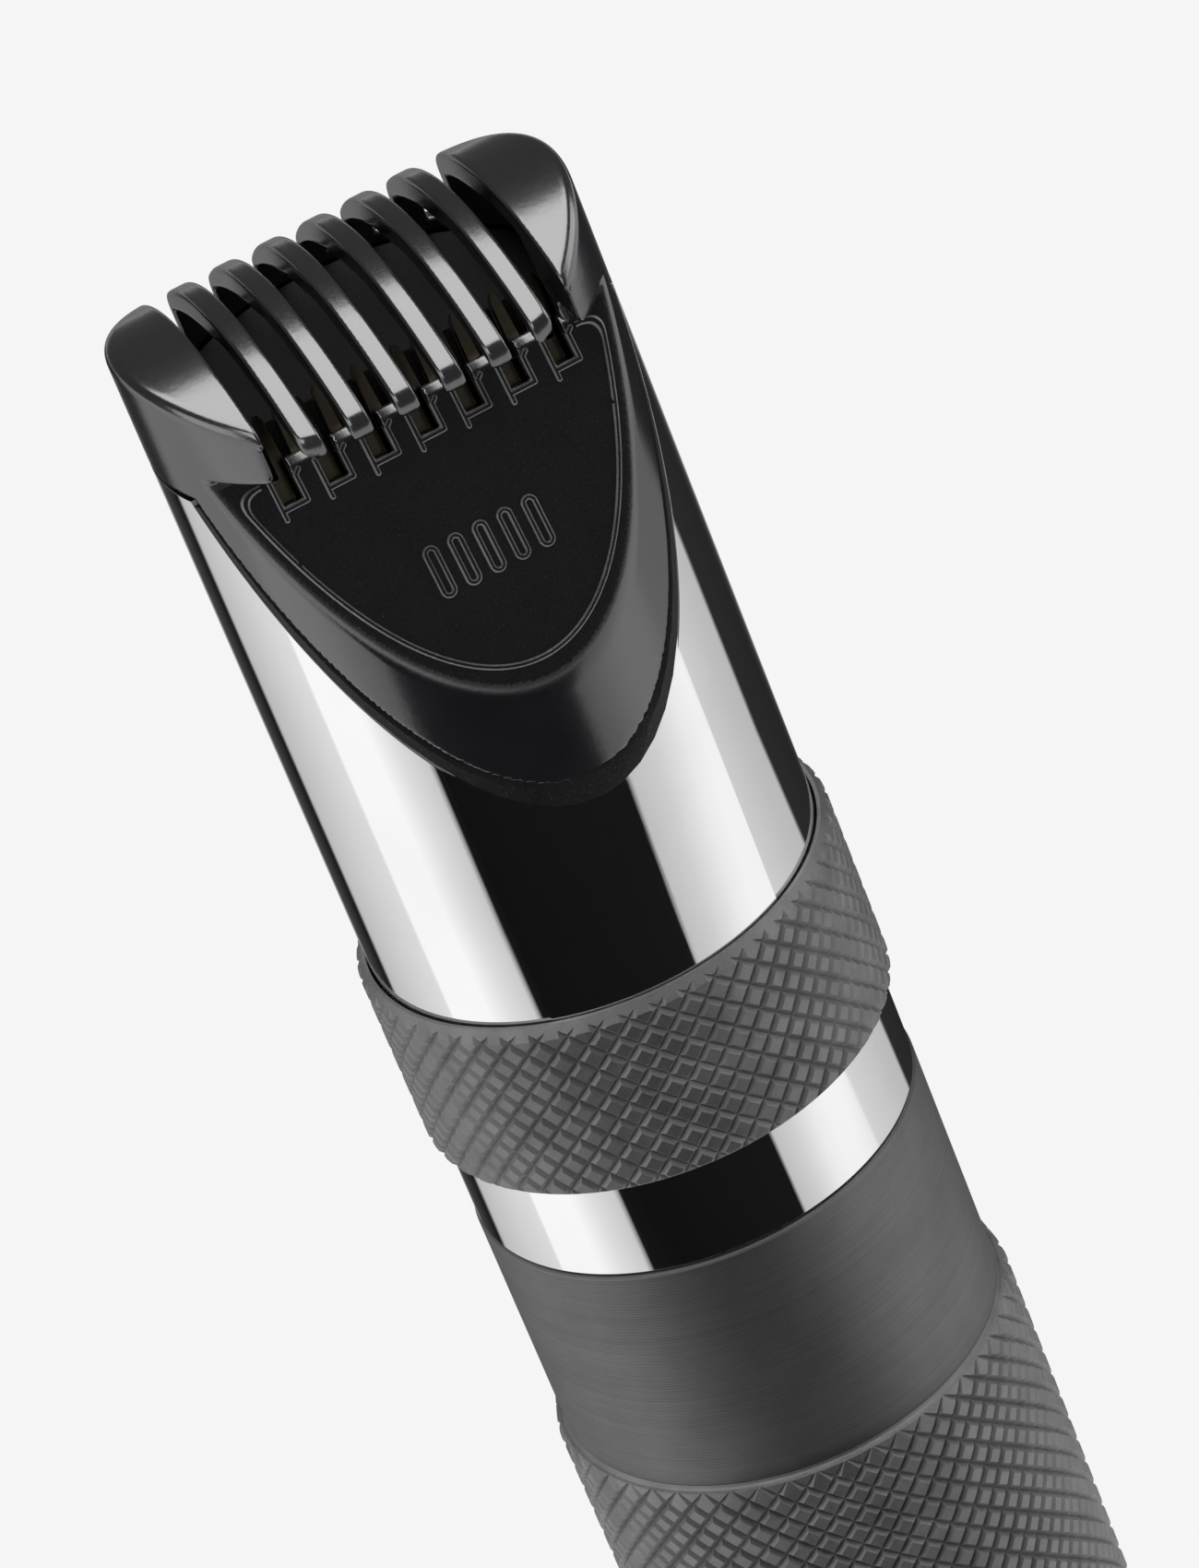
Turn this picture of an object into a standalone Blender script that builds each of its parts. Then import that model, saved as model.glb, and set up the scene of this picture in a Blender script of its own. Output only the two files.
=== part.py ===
"""Cordless beard trimmer: a knurled metal handle, a polished tube with a twist-ring switch and an
oblique cut, a slanted blade head and a pull-off guide comb, with the parts that drive it inside.

Metres, +Z up along the handle. The origin is the centre of the flat base, and the comb's flat
plate faces -Y. In the head, u runs up the slanted plate and n stands out of it.
"""

import math

import bmesh
import bpy
from mathutils import Matrix, Vector

MM = 0.001
GAP = 0.3 * MM
SEAM = 0.02 * MM  # a step between cutters that would otherwise share a face
ROUND_SEGMENTS = 64
SMALL_SEGMENTS = 24
FAR = 60 * MM

# Handle, from the base up
TUBE_RADIUS = 17.0 * MM
TUBE_WALL = 1.0 * MM
END_CAP_HEIGHT = 5.0 * MM
END_CAP_CHAMFER = 0.8 * MM
END_CAP_FLOOR = 3.0 * MM
SPIGOT_LENGTH = 5.0 * MM
SPIGOT_WALL = 2.3 * MM
KNURL_LENGTH = 63.3 * MM
KNURL_HEIGHT = 0.95 * MM
COLLAR_HEIGHT = 20.0 * MM
COLLAR_STEP = 0.13 * MM
COLLAR_FILLET = 0.5 * MM
COLLAR_SLOPE = 1.2 * MM
GRIP_WALL = 2.5 * MM
LOWER_BAND_HEIGHT = 8.15 * MM
RING_HEIGHT = 14.95 * MM
RING_WALL = 0.85 * MM
RING_CLEARANCE = 0.15 * MM
EDGE_CHAMFER = 0.6 * MM

# Upper tube, heights above the ring's top edge
CUT_HEIGHT = 15.8 * MM
CUT_ANGLE = math.radians(66.67)
RIM_HEIGHT = 44.5 * MM

# Guide comb. The plate runs from above the skirt's low edge to just above the tube's rim.
LIP_DEPTH = 1.8 * MM
SKIRT_DEPTH = 8.4 * MM
PLATE_LEAN = math.radians(1.67)  # beyond the tube's oblique cut
PLATE_THICKNESS = 1.3 * MM
PLATE_ABOVE_RIM = 1.1 * MM
BROW_ABOVE_RIM = 2.25 * MM
CREST_ABOVE_RIM = 9.3 * MM
ARCH_DROP = 6.3 * MM  # from the crest to the tube's rear
ARCH_CENTRE = 0.0 * MM
INNER_ARCH_DROP = 4.8 * MM
INNER_ARCH_CENTRE = 0.0 * MM
TINE_DEPTH = 2.3 * MM
TINE_SETBACK = 2.5 * MM
REAR_RIM_HEIGHT = 1.6 * MM
SLOT_COUNT = 7
SLOT_PITCH = 3.5 * MM
SLOT_WIDTH = 1.85 * MM
WINDOW_WIDTH = 1.47 * MM
WINDOW_HEIGHT = 2.4 * MM

# Blades. Lengths run down the plate from the tips of the teeth.
TOOTH_REACH = 3.6 * MM  # above the plate's top edge
TOOTH_LENGTH = 4.6 * MM
TOOTH_TIP = 0.5 * MM
TOOTH_ROOT_SHARE, TOOTH_NECK_SHARE, TOOTH_TIP_SHARE = 0.32, 0.22, 0.08  # half widths, as shares of the pitch
FIXED_TEETH = 16
MOVING_TEETH = 14
BLADE_HALF_WIDTH = 12.2 * MM
BLADE_THICKNESS = 1.0 * MM
BLADE_BAR_LENGTH = 7.6 * MM
CUTTER_LENGTH = 16.3 * MM
BLADE_STEM_HALF_WIDTH = 8.0 * MM
CUTTER_TRAVEL = 1.3 * MM
CUTTER_SETBACK = 0.7 * MM
CUTTER_BAR_LENGTH = 6.5 * MM
CUTTER_STEM_EXTRA = 0.6 * MM
CUTTER_STEM_HALF_WIDTH = 2.4 * MM
BLADE_CLEARANCE = 0.4 * MM
SCREW_HEAD_HEIGHT = 0.6 * MM
SCREW_HEAD_RADIUS = 1.7 * MM
SCREW_RADIUS = 0.9 * MM
SCREW_SEGMENTS = 16
BLADE_SCREW_X = 6.2 * MM
BLADE_SCREW_DROP = 13.6 * MM
BLADE_SCREW_DEPTH = 1.2 * MM
SPRING_WIRE_RADIUS = 0.35 * MM
SPRING_RISE = 4.6 * MM
SPRING_DROP = 3.0 * MM
HOUSING_WALL = 2.0 * MM
HOUSING_FLOOR = 1.8 * MM
HOUSING_FIT = 0.7 * MM
HOUSING_PROUD = 0.9 * MM
HOUSING_CAVITY_RISE = 3.5 * MM

# Drive
MOTOR_RADIUS = 10.0 * MM
MOTOR_HALF_DEPTH = 7.5 * MM
MOTOR_LENGTH = 28.0 * MM
MOTOR_TOP = 6.0 * MM  # above the ring's top edge
MOTOR_BOSS_RADIUS = 3.0 * MM
MOTOR_BOSS_HEIGHT = 1.5 * MM
MOTOR_BELL_HEIGHT = 2.2 * MM
MOTOR_BELL_STEP = 0.4 * MM
MOTOR_SCREW_X = 6.3 * MM
MOTOR_SCREW_DEPTH = 2.6 * MM
MOTOR_SCREW_HEAD = 1.2 * MM
MOUNT_THICKNESS = 2.5 * MM
SHAFT_RADIUS = 1.0 * MM
SHAFT_DEPTH = 6.0 * MM
CAM_RADIUS = 3.6 * MM
CAM_HEIGHT = 7.0 * MM
CAM_TOP_WALL = 0.7 * MM
CAM_ABOVE_MOUNT = 6.2 * MM
CRANK_RADIUS = 1.0 * MM
CRANK_PROUD = 1.5 * MM
FORK_BELOW_STEM = 0.55 * MM
FORK_THICKNESS = 3.0 * MM
FORK_ARM = 1.4 * MM
FORK_WINDOW_GAP = 0.6 * MM

# Switch
TWIST_ANGLE = math.radians(24.0)
PIN_RADIUS = 1.2 * MM
PIN_SUNK = 0.15 * MM
PIN_SLOT_PLAY = 0.9 * MM
PIN_REACH = 0.8 * MM  # from the pin's tip to where it bears on the slider
SLIDER_WALL = 0.8 * MM
SLIDER_HALF_WIDTH = 3.2 * MM
SLIDER_HEIGHT = 6.0 * MM
SWITCH_HALF_WIDTH = 6.5 * MM
SWITCH_SETBACK = 3.0 * MM
DETENT_THICKNESS = 0.5 * MM
DETENT_HALF_HEIGHT = 1.6 * MM
DETENT_REACH = 6.0 * MM

# Couplings and seals
SLEEVE_WALL = 1.2 * MM
SLEEVE_DEPTH = 10.6 * MM
SLEEVE_SHORT = 1.2 * MM
SEAL_RADIUS = 0.5 * MM
SEAL_GROOVE_DEPTH = 1.2 * MM
SEAL_GROOVE_HEIGHT = 1.8 * MM
CAP_GROOVE_UP = 1.4 * MM
SLEEVE_GROOVE_DOWN = 2.0 * MM

# Power
CELL_RADIUS = 9.1 * MM
CELL_LENGTH = 65.0 * MM
CELL_BELOW_COLLAR = 9.1 * MM
CELL_FIT = 0.4 * MM
TAB_RADIUS = 5.5 * MM
TAB_THICKNESS = 0.4 * MM
CRADLE_WALL = 1.8 * MM
CRADLE_END = 2.0 * MM
CRADLE_WRAP = 0.7  # how far forward the wall wraps the cell, as a share of its radius
CRADLE_BELOW = 3.2 * MM
CRADLE_ABOVE = 4.0 * MM
BOARD_THICKNESS = 1.6 * MM
BOARD_HALF_WIDTH = 8.0 * MM
BOARD_CLEARANCE = 0.5 * MM
BOARD_ABOVE_SWITCH = 1.5 * MM
CHIP_SIZE = Vector((4.8 * MM, 1.2 * MM, 7.2 * MM))
CHIP_ABOVE_CELL = 30.0 * MM
CHIP_INSET = 2.0 * MM
SOCKET_SIZE = Vector((9.4 * MM, 3.6 * MM, 7.2 * MM))
SOCKET_WALL = 0.5 * MM
SOCKET_BACK = 1.0 * MM
SOCKET_SUNK = 0.8 * MM
SOCKET_BOARD_INSET = 1.5 * MM
LEAD_RADIUS = 0.5 * MM
LEAD_X = 3.2 * MM
LEAD_BEND = 3.0 * MM
LEAD_BELL_Y = 2.0 * MM

# Heights and radii that follow from the sizes above
PLATE_ANGLE = CUT_ANGLE - PLATE_LEAN
Z_GRIP_LOW = END_CAP_HEIGHT + GAP
Z_COLLAR_LOW = Z_GRIP_LOW + KNURL_LENGTH
Z_COLLAR_TOP = Z_COLLAR_LOW + COLLAR_HEIGHT
Z_TUBE_LOW = Z_COLLAR_TOP + GAP
Z_RING_LOW = Z_TUBE_LOW + LOWER_BAND_HEIGHT
Z_RING_TOP = Z_RING_LOW + RING_HEIGHT
Z_CUT = Z_RING_TOP + CUT_HEIGHT
Z_RIM = Z_RING_TOP + RIM_HEIGHT
Z_PLATE = Z_CUT + LIP_DEPTH + SKIRT_DEPTH
Z_PLATE_TOP = Z_RIM + PLATE_ABOVE_RIM
Z_BROW = Z_RIM + BROW_ABOVE_RIM
Z_CREST = Z_RIM + CREST_ABOVE_RIM
Z_MOTOR_TOP = Z_RING_TOP + MOTOR_TOP
Z_MOTOR_LOW = Z_MOTOR_TOP - MOTOR_LENGTH
Z_BELL_LOW = Z_MOTOR_LOW - GAP - MOTOR_BELL_HEIGHT
Z_MOUNT_TOP = Z_MOTOR_TOP + GAP + MOUNT_THICKNESS
Z_HOUSING_LOW = Z_MOUNT_TOP + GAP
Z_CAM_LOW = Z_MOUNT_TOP + CAM_ABOVE_MOUNT
Z_CAM_TOP = Z_CAM_LOW + CAM_HEIGHT
Z_SWITCH = (Z_RING_LOW + Z_RING_TOP) / 2
Z_CELL_TOP = Z_COLLAR_TOP - CELL_BELOW_COLLAR
Z_CELL_LOW = Z_CELL_TOP - CELL_LENGTH
Z_CRADLE_FLOOR = Z_CELL_LOW - CRADLE_BELOW + CRADLE_END
Z_BOARD_LOW = Z_CRADLE_FLOOR + GAP

TUBE_BORE = TUBE_RADIUS - TUBE_WALL
COLLAR_RADIUS = TUBE_RADIUS + COLLAR_STEP
KNURL_RADIUS = TUBE_RADIUS + KNURL_HEIGHT
GRIP_BORE = TUBE_RADIUS - GRIP_WALL
RING_BORE = TUBE_RADIUS + RING_CLEARANCE
SPIGOT_RADIUS = GRIP_BORE - GAP
SLEEVE_LOW_RADIUS = GRIP_BORE - GAP
SLEEVE_TOP_RADIUS = TUBE_BORE - GAP
SLEEVE_BORE = SLEEVE_LOW_RADIUS - SLEEVE_WALL
HOUSING_RADIUS = TUBE_BORE - HOUSING_FIT
COMB_BORE = HOUSING_RADIUS + GAP
TINE_REACH = TUBE_RADIUS - TINE_SETBACK
SLIDER_BACK = GRIP_BORE - SWITCH_SETBACK
PIN_CORNER = SLIDER_BACK + SLIDER_WALL + GAP + PIN_RADIUS * math.sin(TWIST_ANGLE / 2)
PIN_TIP = PIN_CORNER / math.cos(TWIST_ANGLE / 2)
SLIDER_X = (PIN_TIP + PIN_REACH) * math.sin(TWIST_ANGLE / 2)
SLIDER_FRONT = math.sqrt((TUBE_BORE - GAP) ** 2 - (SLIDER_X + SLIDER_HALF_WIDTH) ** 2)
BOARD_LOW_Y = MOTOR_HALF_DEPTH + BOARD_CLEARANCE
BOARD_TOP_Y = BOARD_LOW_Y + BOARD_THICKNESS
CRADLE_BORE = CELL_RADIUS + CELL_FIT
CELL_Y = BOARD_LOW_Y - BOARD_CLEARANCE - CELL_RADIUS
FORK_SLOT_X = CRANK_RADIUS + 2 * CUTTER_TRAVEL + 0.2 * MM
FORK_SLOT_Y = CRANK_RADIUS + CUTTER_TRAVEL + 0.6 * MM

# Layers of the head, along n from the plate's face
N_PLATE_BACK = -PLATE_THICKNESS
N_SCREW_TOP = N_PLATE_BACK - GAP
N_FIXED_TOP = N_SCREW_TOP - SCREW_HEAD_HEIGHT - GAP
N_FIXED_BACK = N_FIXED_TOP - BLADE_THICKNESS
N_MOVING_TOP = N_FIXED_BACK - GAP
N_MOVING_BACK = N_MOVING_TOP - BLADE_THICKNESS
N_SPRING = N_MOVING_BACK - GAP - SPRING_WIRE_RADIUS
N_HOUSING = N_SPRING - SPRING_WIRE_RADIUS - GAP

# Places along u, up the plate from its lowest point
U_PLATE_TOP = (Z_PLATE_TOP - Z_PLATE) / math.sin(PLATE_ANGLE)
U_BLADE_TOP = U_PLATE_TOP + TOOTH_REACH
U_BAR = U_BLADE_TOP - BLADE_BAR_LENGTH
U_CUTTER_TOP = U_BLADE_TOP - CUTTER_SETBACK
U_BLADE_SCREW = U_BLADE_TOP - BLADE_SCREW_DROP

# The fork is at the end of the cutter's stem, which is longer where the fork would otherwise meet the
# housing's slanted floor
FORK_BACK_Y = FORK_SLOT_Y + FORK_ARM
FLOOR_DEPTH_Y = (HOUSING_FLOOR - N_HOUSING) / math.sin(PLATE_ANGLE)
FLOOR_RISE = (TUBE_RADIUS - FORK_BACK_Y - GAP - FLOOR_DEPTH_Y) * math.tan(PLATE_ANGLE)
STEM_END = (U_BLADE_TOP - CUTTER_LENGTH) * math.sin(PLATE_ANGLE) + N_MOVING_BACK * math.cos(PLATE_ANGLE)
Z_FORK_LOW = Z_PLATE + min(STEM_END - FORK_BELOW_STEM, FLOOR_RISE - FORK_THICKNESS)
Z_FORK_TOP = Z_FORK_LOW + FORK_THICKNESS
STEM_RISE = Z_FORK_LOW + FORK_BELOW_STEM - Z_PLATE
U_CUTTER_LOW = (STEM_RISE - N_MOVING_BACK * math.cos(PLATE_ANGLE)) / math.sin(PLATE_ANGLE)
U_BLADE_LOW = U_CUTTER_LOW + CUTTER_STEM_EXTRA

HEAD_FRAME = Matrix.Translation((0, -TUBE_RADIUS, Z_PLATE)) @ Matrix.Rotation(PLATE_ANGLE, 4, "X")


def clear_scene():
    for obj in list(bpy.data.objects):
        bpy.data.objects.remove(obj, do_unlink=True)


def new_collection(name):
    made = bpy.data.collections.new(name)
    bpy.context.scene.collection.children.link(made)
    return made


clear_scene()
PARTS = new_collection("beard_trimmer")
CUTTERS = new_collection("cutters")
CUTTERS.hide_render = True


def material(name, colour, roughness, metallic=0.0):
    made = bpy.data.materials.new(name)
    made.use_nodes = True
    shader = made.node_tree.nodes["Principled BSDF"]
    shader.inputs["Base Color"].default_value = (*colour, 1.0)
    shader.inputs["Roughness"].default_value = roughness
    shader.inputs["Metallic"].default_value = metallic
    return made


CHROME = material("polished_chrome", (0.78, 0.79, 0.80), 0.05, 1.0)
GUNMETAL = material("dark_anodised_aluminium", (0.11, 0.11, 0.12), 0.35, 1.0)
STEEL = material("blade_steel", (0.62, 0.60, 0.56), 0.25, 1.0)
BLACK_GLOSS = material("black_comb_plastic", (0.012, 0.012, 0.016), 0.25)
BLACK_MATTE = material("black_housing_plastic", (0.010, 0.010, 0.011), 0.6)
GREY_PLASTIC = material("grey_frame_plastic", (0.20, 0.20, 0.21), 0.6)
NYLON = material("white_nylon", (0.80, 0.80, 0.76), 0.5)
RUBBER = material("seal_rubber", (0.02, 0.02, 0.02), 0.8)
BOARD_GREEN = material("circuit_board_green", (0.02, 0.16, 0.06), 0.5)
CELL_WRAP = material("cell_wrap_blue", (0.04, 0.10, 0.30), 0.4)
BRASS = material("brass", (0.80, 0.58, 0.28), 0.3, 1.0)
RED_LEAD = material("red_lead", (0.50, 0.02, 0.02), 0.5)
BLACK_LEAD = material("black_lead", (0.02, 0.02, 0.02), 0.5)


def add(name, mesh, surface=None, frame=None):
    """A new object: a part when it has a surface material, or else a cutter."""
    obj = bpy.data.objects.new(name, mesh)
    obj.matrix_world = frame or Matrix.Identity(4)
    if surface is None:
        CUTTERS.objects.link(obj)
        obj.hide_render = True
        obj.display_type = "WIRE"
    else:
        PARTS.objects.link(obj)
        mesh.materials.append(surface)
    return obj


def smooth(obj, angle=35.0):
    obj.data.shade_smooth()
    obj.data.set_sharp_from_angle(angle=math.radians(angle))
    return obj


def box(name, low, high, surface=None, frame=None):
    mesh = bpy.data.meshes.new(name)
    shape = bmesh.new()
    bmesh.ops.create_cube(shape, size=1.0)
    low, high = Vector(low), Vector(high)
    for vert in shape.verts:
        vert.co = (low + high) / 2 + vert.co * (high - low)
    shape.to_mesh(mesh)
    shape.free()
    return add(name, mesh, surface, frame)


def cylinder(name, radius, low, high, surface=None, centre=(0, 0), segments=ROUND_SEGMENTS, frame=None):
    """A cylinder along the frame's Z axis, from low to high."""
    mesh = bpy.data.meshes.new(name)
    shape = bmesh.new()
    bmesh.ops.create_cone(
        shape, cap_ends=True, segments=segments, radius1=radius, radius2=radius, depth=high - low
    )
    bmesh.ops.translate(shape, verts=shape.verts, vec=(*centre, (low + high) / 2))
    shape.to_mesh(mesh)
    shape.free()
    return smooth(add(name, mesh, surface, frame))


def turned(name, profile, surface=None, segments=ROUND_SEGMENTS, closed=True):
    """Turns a profile of (radius, height) points about Z. It runs down its outer side."""
    mesh = bpy.data.meshes.new(name)
    shape = bmesh.new()
    points = [shape.verts.new((radius, 0, height)) for radius, height in profile]
    for start, end in zip(points, points[1:] + points[:1] if closed else points[1:]):
        shape.edges.new((start, end))
    shape.to_mesh(mesh)
    shape.free()
    obj = add(name, mesh, surface)
    screw = obj.modifiers.new("turn", "SCREW")
    screw.steps = segments
    screw.render_steps = segments
    screw.use_merge_vertices = True
    screw.merge_threshold = 0.00001
    screw.use_smooth_shade = True
    return obj


def outline(name, points, half_thickness, surface, frame, holes=()):
    """A flat plate in the frame's XY plane, centred on it, from an outline and round holes."""
    curve = bpy.data.curves.new(name, "CURVE")
    curve.dimensions = "2D"
    curve.fill_mode = "BOTH"
    curve.extrude = half_thickness
    loops = [points]
    for x, y, radius in holes:
        turns = [2 * math.pi * k / SMALL_SEGMENTS for k in range(SMALL_SEGMENTS)]
        loops.append([(x + radius * math.cos(a), y + radius * math.sin(a)) for a in turns])
    for loop in loops:
        spline = curve.splines.new("POLY")
        spline.points.add(len(loop) - 1)
        for point, (x, y) in zip(spline.points, loop):
            point.co = (x, y, 0, 1)
        spline.use_cyclic_u = True
    return add(name, curve, surface, frame)


def wire(name, points, radius, surface, frame=None):
    curve = bpy.data.curves.new(name, "CURVE")
    curve.dimensions = "3D"
    curve.bevel_depth = radius
    curve.bevel_resolution = 2
    curve.use_fill_caps = True
    spline = curve.splines.new("POLY")
    spline.points.add(len(points) - 1)
    for point, place in zip(spline.points, points):
        point.co = (*place, 1)
    return add(name, curve, surface, frame)


def prism(name, points, half_width, surface=None):
    """Extrudes an outline of (y, z) points along X, half a width to each side."""
    mesh = bpy.data.meshes.new(name)
    shape = bmesh.new()
    face = shape.faces.new([shape.verts.new((-half_width, y, z)) for y, z in points])
    sides = bmesh.ops.extrude_face_region(shape, geom=[face], use_keep_orig=True)["geom"]
    moved = [item for item in sides if isinstance(item, bmesh.types.BMVert)]
    bmesh.ops.translate(shape, verts=moved, vec=(2 * half_width, 0, 0))
    bmesh.ops.recalc_face_normals(shape, faces=shape.faces)
    shape.to_mesh(mesh)
    shape.free()
    return smooth(add(name, mesh, surface))


def cut(obj, cutter, operation="DIFFERENCE"):
    """Cuts, joins or intersects obj with a cutter."""
    boolean = obj.modifiers.new(cutter.name, "BOOLEAN")
    boolean.operation = operation
    boolean.solver = "EXACT"
    boolean.object = cutter
    return obj


def oblique_frame(height):
    """The plane of the tube's oblique cut, raised so that it meets the front of the tube at height."""
    return Matrix.Translation((0, -TUBE_RADIUS, height)) @ Matrix.Rotation(CUT_ANGLE, 4, "X")


def in_front_of(name, frame, depth=0.0):
    """A cutter for all that stands out of the frame's XY plane by more than depth."""
    return box(name, (-FAR, -FAR, depth), (FAR, 2 * FAR, FAR), frame=frame)


def behind(name, frame, depth=0.0):
    """A cutter for all that lies below the frame's XY plane, raised by depth."""
    return box(name, (-FAR, -FAR, -2 * FAR), (FAR, 2 * FAR, depth), frame=frame)


def radial_frame(angle, height):
    """A frame at the axis whose Z points out of the tube, at an angle from +Y towards -X."""
    return (
        Matrix.Translation((0, 0, height))
        @ Matrix.Rotation(angle, 4, "Z")
        @ Matrix.Rotation(-math.pi / 2, 4, "X")
    )


def make_seal(name, groove_radius, low):
    """A rubber ring in a groove of the height and depth that the seals share."""
    ring = groove_radius + GAP / 2 + SEAL_RADIUS
    middle = low + SEAL_GROOVE_HEIGHT / 2
    turns = [2 * math.pi * k / 8 for k in range(8)]
    circle = [(ring + SEAL_RADIUS * math.cos(a), middle - SEAL_RADIUS * math.sin(a)) for a in turns]
    turned(name, circle, RUBBER, segments=32)


def make_end_cap():
    top = END_CAP_HEIGHT + SPIGOT_LENGTH
    groove_low = END_CAP_HEIGHT + CAP_GROOVE_UP
    groove_top = groove_low + SEAL_GROOVE_HEIGHT
    groove_radius = SPIGOT_RADIUS - SEAL_GROOVE_DEPTH
    cap = turned(
        "end_cap",
        [
            (0, END_CAP_FLOOR),
            (SPIGOT_RADIUS - SPIGOT_WALL, END_CAP_FLOOR),
            (SPIGOT_RADIUS - SPIGOT_WALL, top),
            (SPIGOT_RADIUS, top),
            (SPIGOT_RADIUS, groove_top),
            (groove_radius, groove_top),
            (groove_radius, groove_low),
            (SPIGOT_RADIUS, groove_low),
            (SPIGOT_RADIUS, END_CAP_HEIGHT),
            (COLLAR_RADIUS, END_CAP_HEIGHT),
            (COLLAR_RADIUS, END_CAP_CHAMFER),
            (COLLAR_RADIUS - END_CAP_CHAMFER, 0),
            (0, 0),
        ],
        GUNMETAL,
        closed=False,
    )
    slot = SOCKET_SIZE / 2 + Vector((GAP, GAP, 0))
    cut(cap, box("cap_slot", (-slot.x, -slot.y, -FAR), (slot.x, slot.y, FAR)))
    make_seal("end_cap_seal", groove_radius, groove_low)


def make_charge_socket():
    half = SOCKET_SIZE / 2
    top = SOCKET_SUNK + SOCKET_SIZE.z
    socket = box("charge_socket", (-half.x, -half.y, SOCKET_SUNK), (half.x, half.y, top), STEEL)
    inner = half - Vector((SOCKET_WALL, SOCKET_WALL, 0))
    cut(socket, box("socket_mouth", (-inner.x, -inner.y, -FAR), (inner.x, inner.y, top - SOCKET_BACK)))
    board = top + GAP
    radius = SPIGOT_RADIUS - SPIGOT_WALL - SOCKET_BOARD_INSET
    cylinder("socket_board", radius, board, board + SOCKET_BACK, BOARD_GREEN, segments=32)


def make_grip():
    turned(
        "grip_tube",
        [
            (GRIP_BORE, Z_COLLAR_TOP),
            (COLLAR_RADIUS - GAP, Z_COLLAR_TOP),
            (COLLAR_RADIUS, Z_COLLAR_TOP - GAP),
            (COLLAR_RADIUS, Z_COLLAR_LOW),
            (COLLAR_RADIUS + COLLAR_FILLET, Z_COLLAR_LOW - COLLAR_FILLET),
            (KNURL_RADIUS, Z_COLLAR_LOW - COLLAR_SLOPE),
            (KNURL_RADIUS, Z_GRIP_LOW + EDGE_CHAMFER),
            (KNURL_RADIUS - EDGE_CHAMFER, Z_GRIP_LOW),
            (GRIP_BORE, Z_GRIP_LOW),
        ],
        GUNMETAL,
    )


def make_coupling():
    """The threaded sleeve that joins the polished tube to the grip, and its seal."""
    low = Z_COLLAR_TOP - SLEEVE_DEPTH
    top = Z_RING_LOW - SLEEVE_SHORT
    shoulder = Z_TUBE_LOW + GAP
    groove_top = top - SLEEVE_GROOVE_DOWN
    groove_low = groove_top - SEAL_GROOVE_HEIGHT
    groove_radius = SLEEVE_TOP_RADIUS - SEAL_GROOVE_DEPTH
    turned(
        "coupling_sleeve",
        [
            (SLEEVE_BORE, top),
            (SLEEVE_TOP_RADIUS, top),
            (SLEEVE_TOP_RADIUS, groove_top),
            (groove_radius, groove_top),
            (groove_radius, groove_low),
            (SLEEVE_TOP_RADIUS, groove_low),
            (SLEEVE_TOP_RADIUS, shoulder),
            (SLEEVE_LOW_RADIUS, shoulder),
            (SLEEVE_LOW_RADIUS, low),
            (SLEEVE_BORE, low),
        ],
        BRASS,
    )
    make_seal("coupling_seal", groove_radius, groove_low)


def make_chrome_tube():
    tube = turned(
        "chrome_tube",
        [
            (TUBE_BORE, Z_RIM),
            (TUBE_RADIUS, Z_RIM),
            (TUBE_RADIUS, Z_TUBE_LOW),
            (TUBE_BORE, Z_TUBE_LOW),
        ],
        CHROME,
    )
    cut(tube, in_front_of("tube_oblique_cut", oblique_frame(Z_CUT)))
    slot_half = TUBE_RADIUS * math.sin(TWIST_ANGLE / 2) + PIN_RADIUS + PIN_SLOT_PLAY
    height = PIN_RADIUS + GAP
    low = (-slot_half, 0, Z_SWITCH - height)
    cut(tube, box("tube_pin_slot", low, (slot_half, FAR, Z_SWITCH + height)))


def make_twist_ring():
    outer = RING_BORE + RING_WALL
    chamfer = EDGE_CHAMFER
    ring = turned(
        "twist_ring",
        [
            (RING_BORE, Z_RING_TOP),
            (outer - chamfer, Z_RING_TOP),
            (outer, Z_RING_TOP - chamfer),
            (outer, Z_RING_LOW + chamfer),
            (outer - chamfer, Z_RING_LOW),
            (RING_BORE, Z_RING_LOW),
        ],
        GUNMETAL,
    )
    frame = radial_frame(-TWIST_ANGLE / 2, Z_SWITCH)
    hole = cylinder("ring_pin_hole", PIN_RADIUS + GAP, 0, FAR, segments=SMALL_SEGMENTS, frame=frame)
    cut(ring, hole)
    end = outer - PIN_SUNK
    cylinder("ring_drive_pin", PIN_RADIUS, PIN_TIP, end, STEEL, segments=SMALL_SEGMENTS, frame=frame)


def make_switch():
    """The slide switch on the board, and the forked slider that the ring's pin carries along."""
    half = SLIDER_HEIGHT / 2
    low = (-SWITCH_HALF_WIDTH, BOARD_TOP_Y + GAP, Z_SWITCH - half)
    high = (SWITCH_HALF_WIDTH, SLIDER_BACK - GAP, Z_SWITCH + half)
    box("slide_switch", low, high, STEEL)
    low = (SLIDER_X - SLIDER_HALF_WIDTH, SLIDER_BACK, Z_SWITCH - half)
    high = (SLIDER_X + SLIDER_HALF_WIDTH, SLIDER_FRONT, Z_SWITCH + half)
    slider = box("switch_slider", low, high, NYLON)
    tilt = (SLIDER_FRONT - PIN_TIP) * math.tan(TWIST_ANGLE / 2)
    notch = PIN_RADIUS + tilt + GAP
    low = (SLIDER_X - notch, SLIDER_BACK + SLIDER_WALL, Z_SWITCH - FAR)
    cut(slider, box("slider_notch", low, (SLIDER_X + notch, FAR, Z_SWITCH + FAR)))


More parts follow.
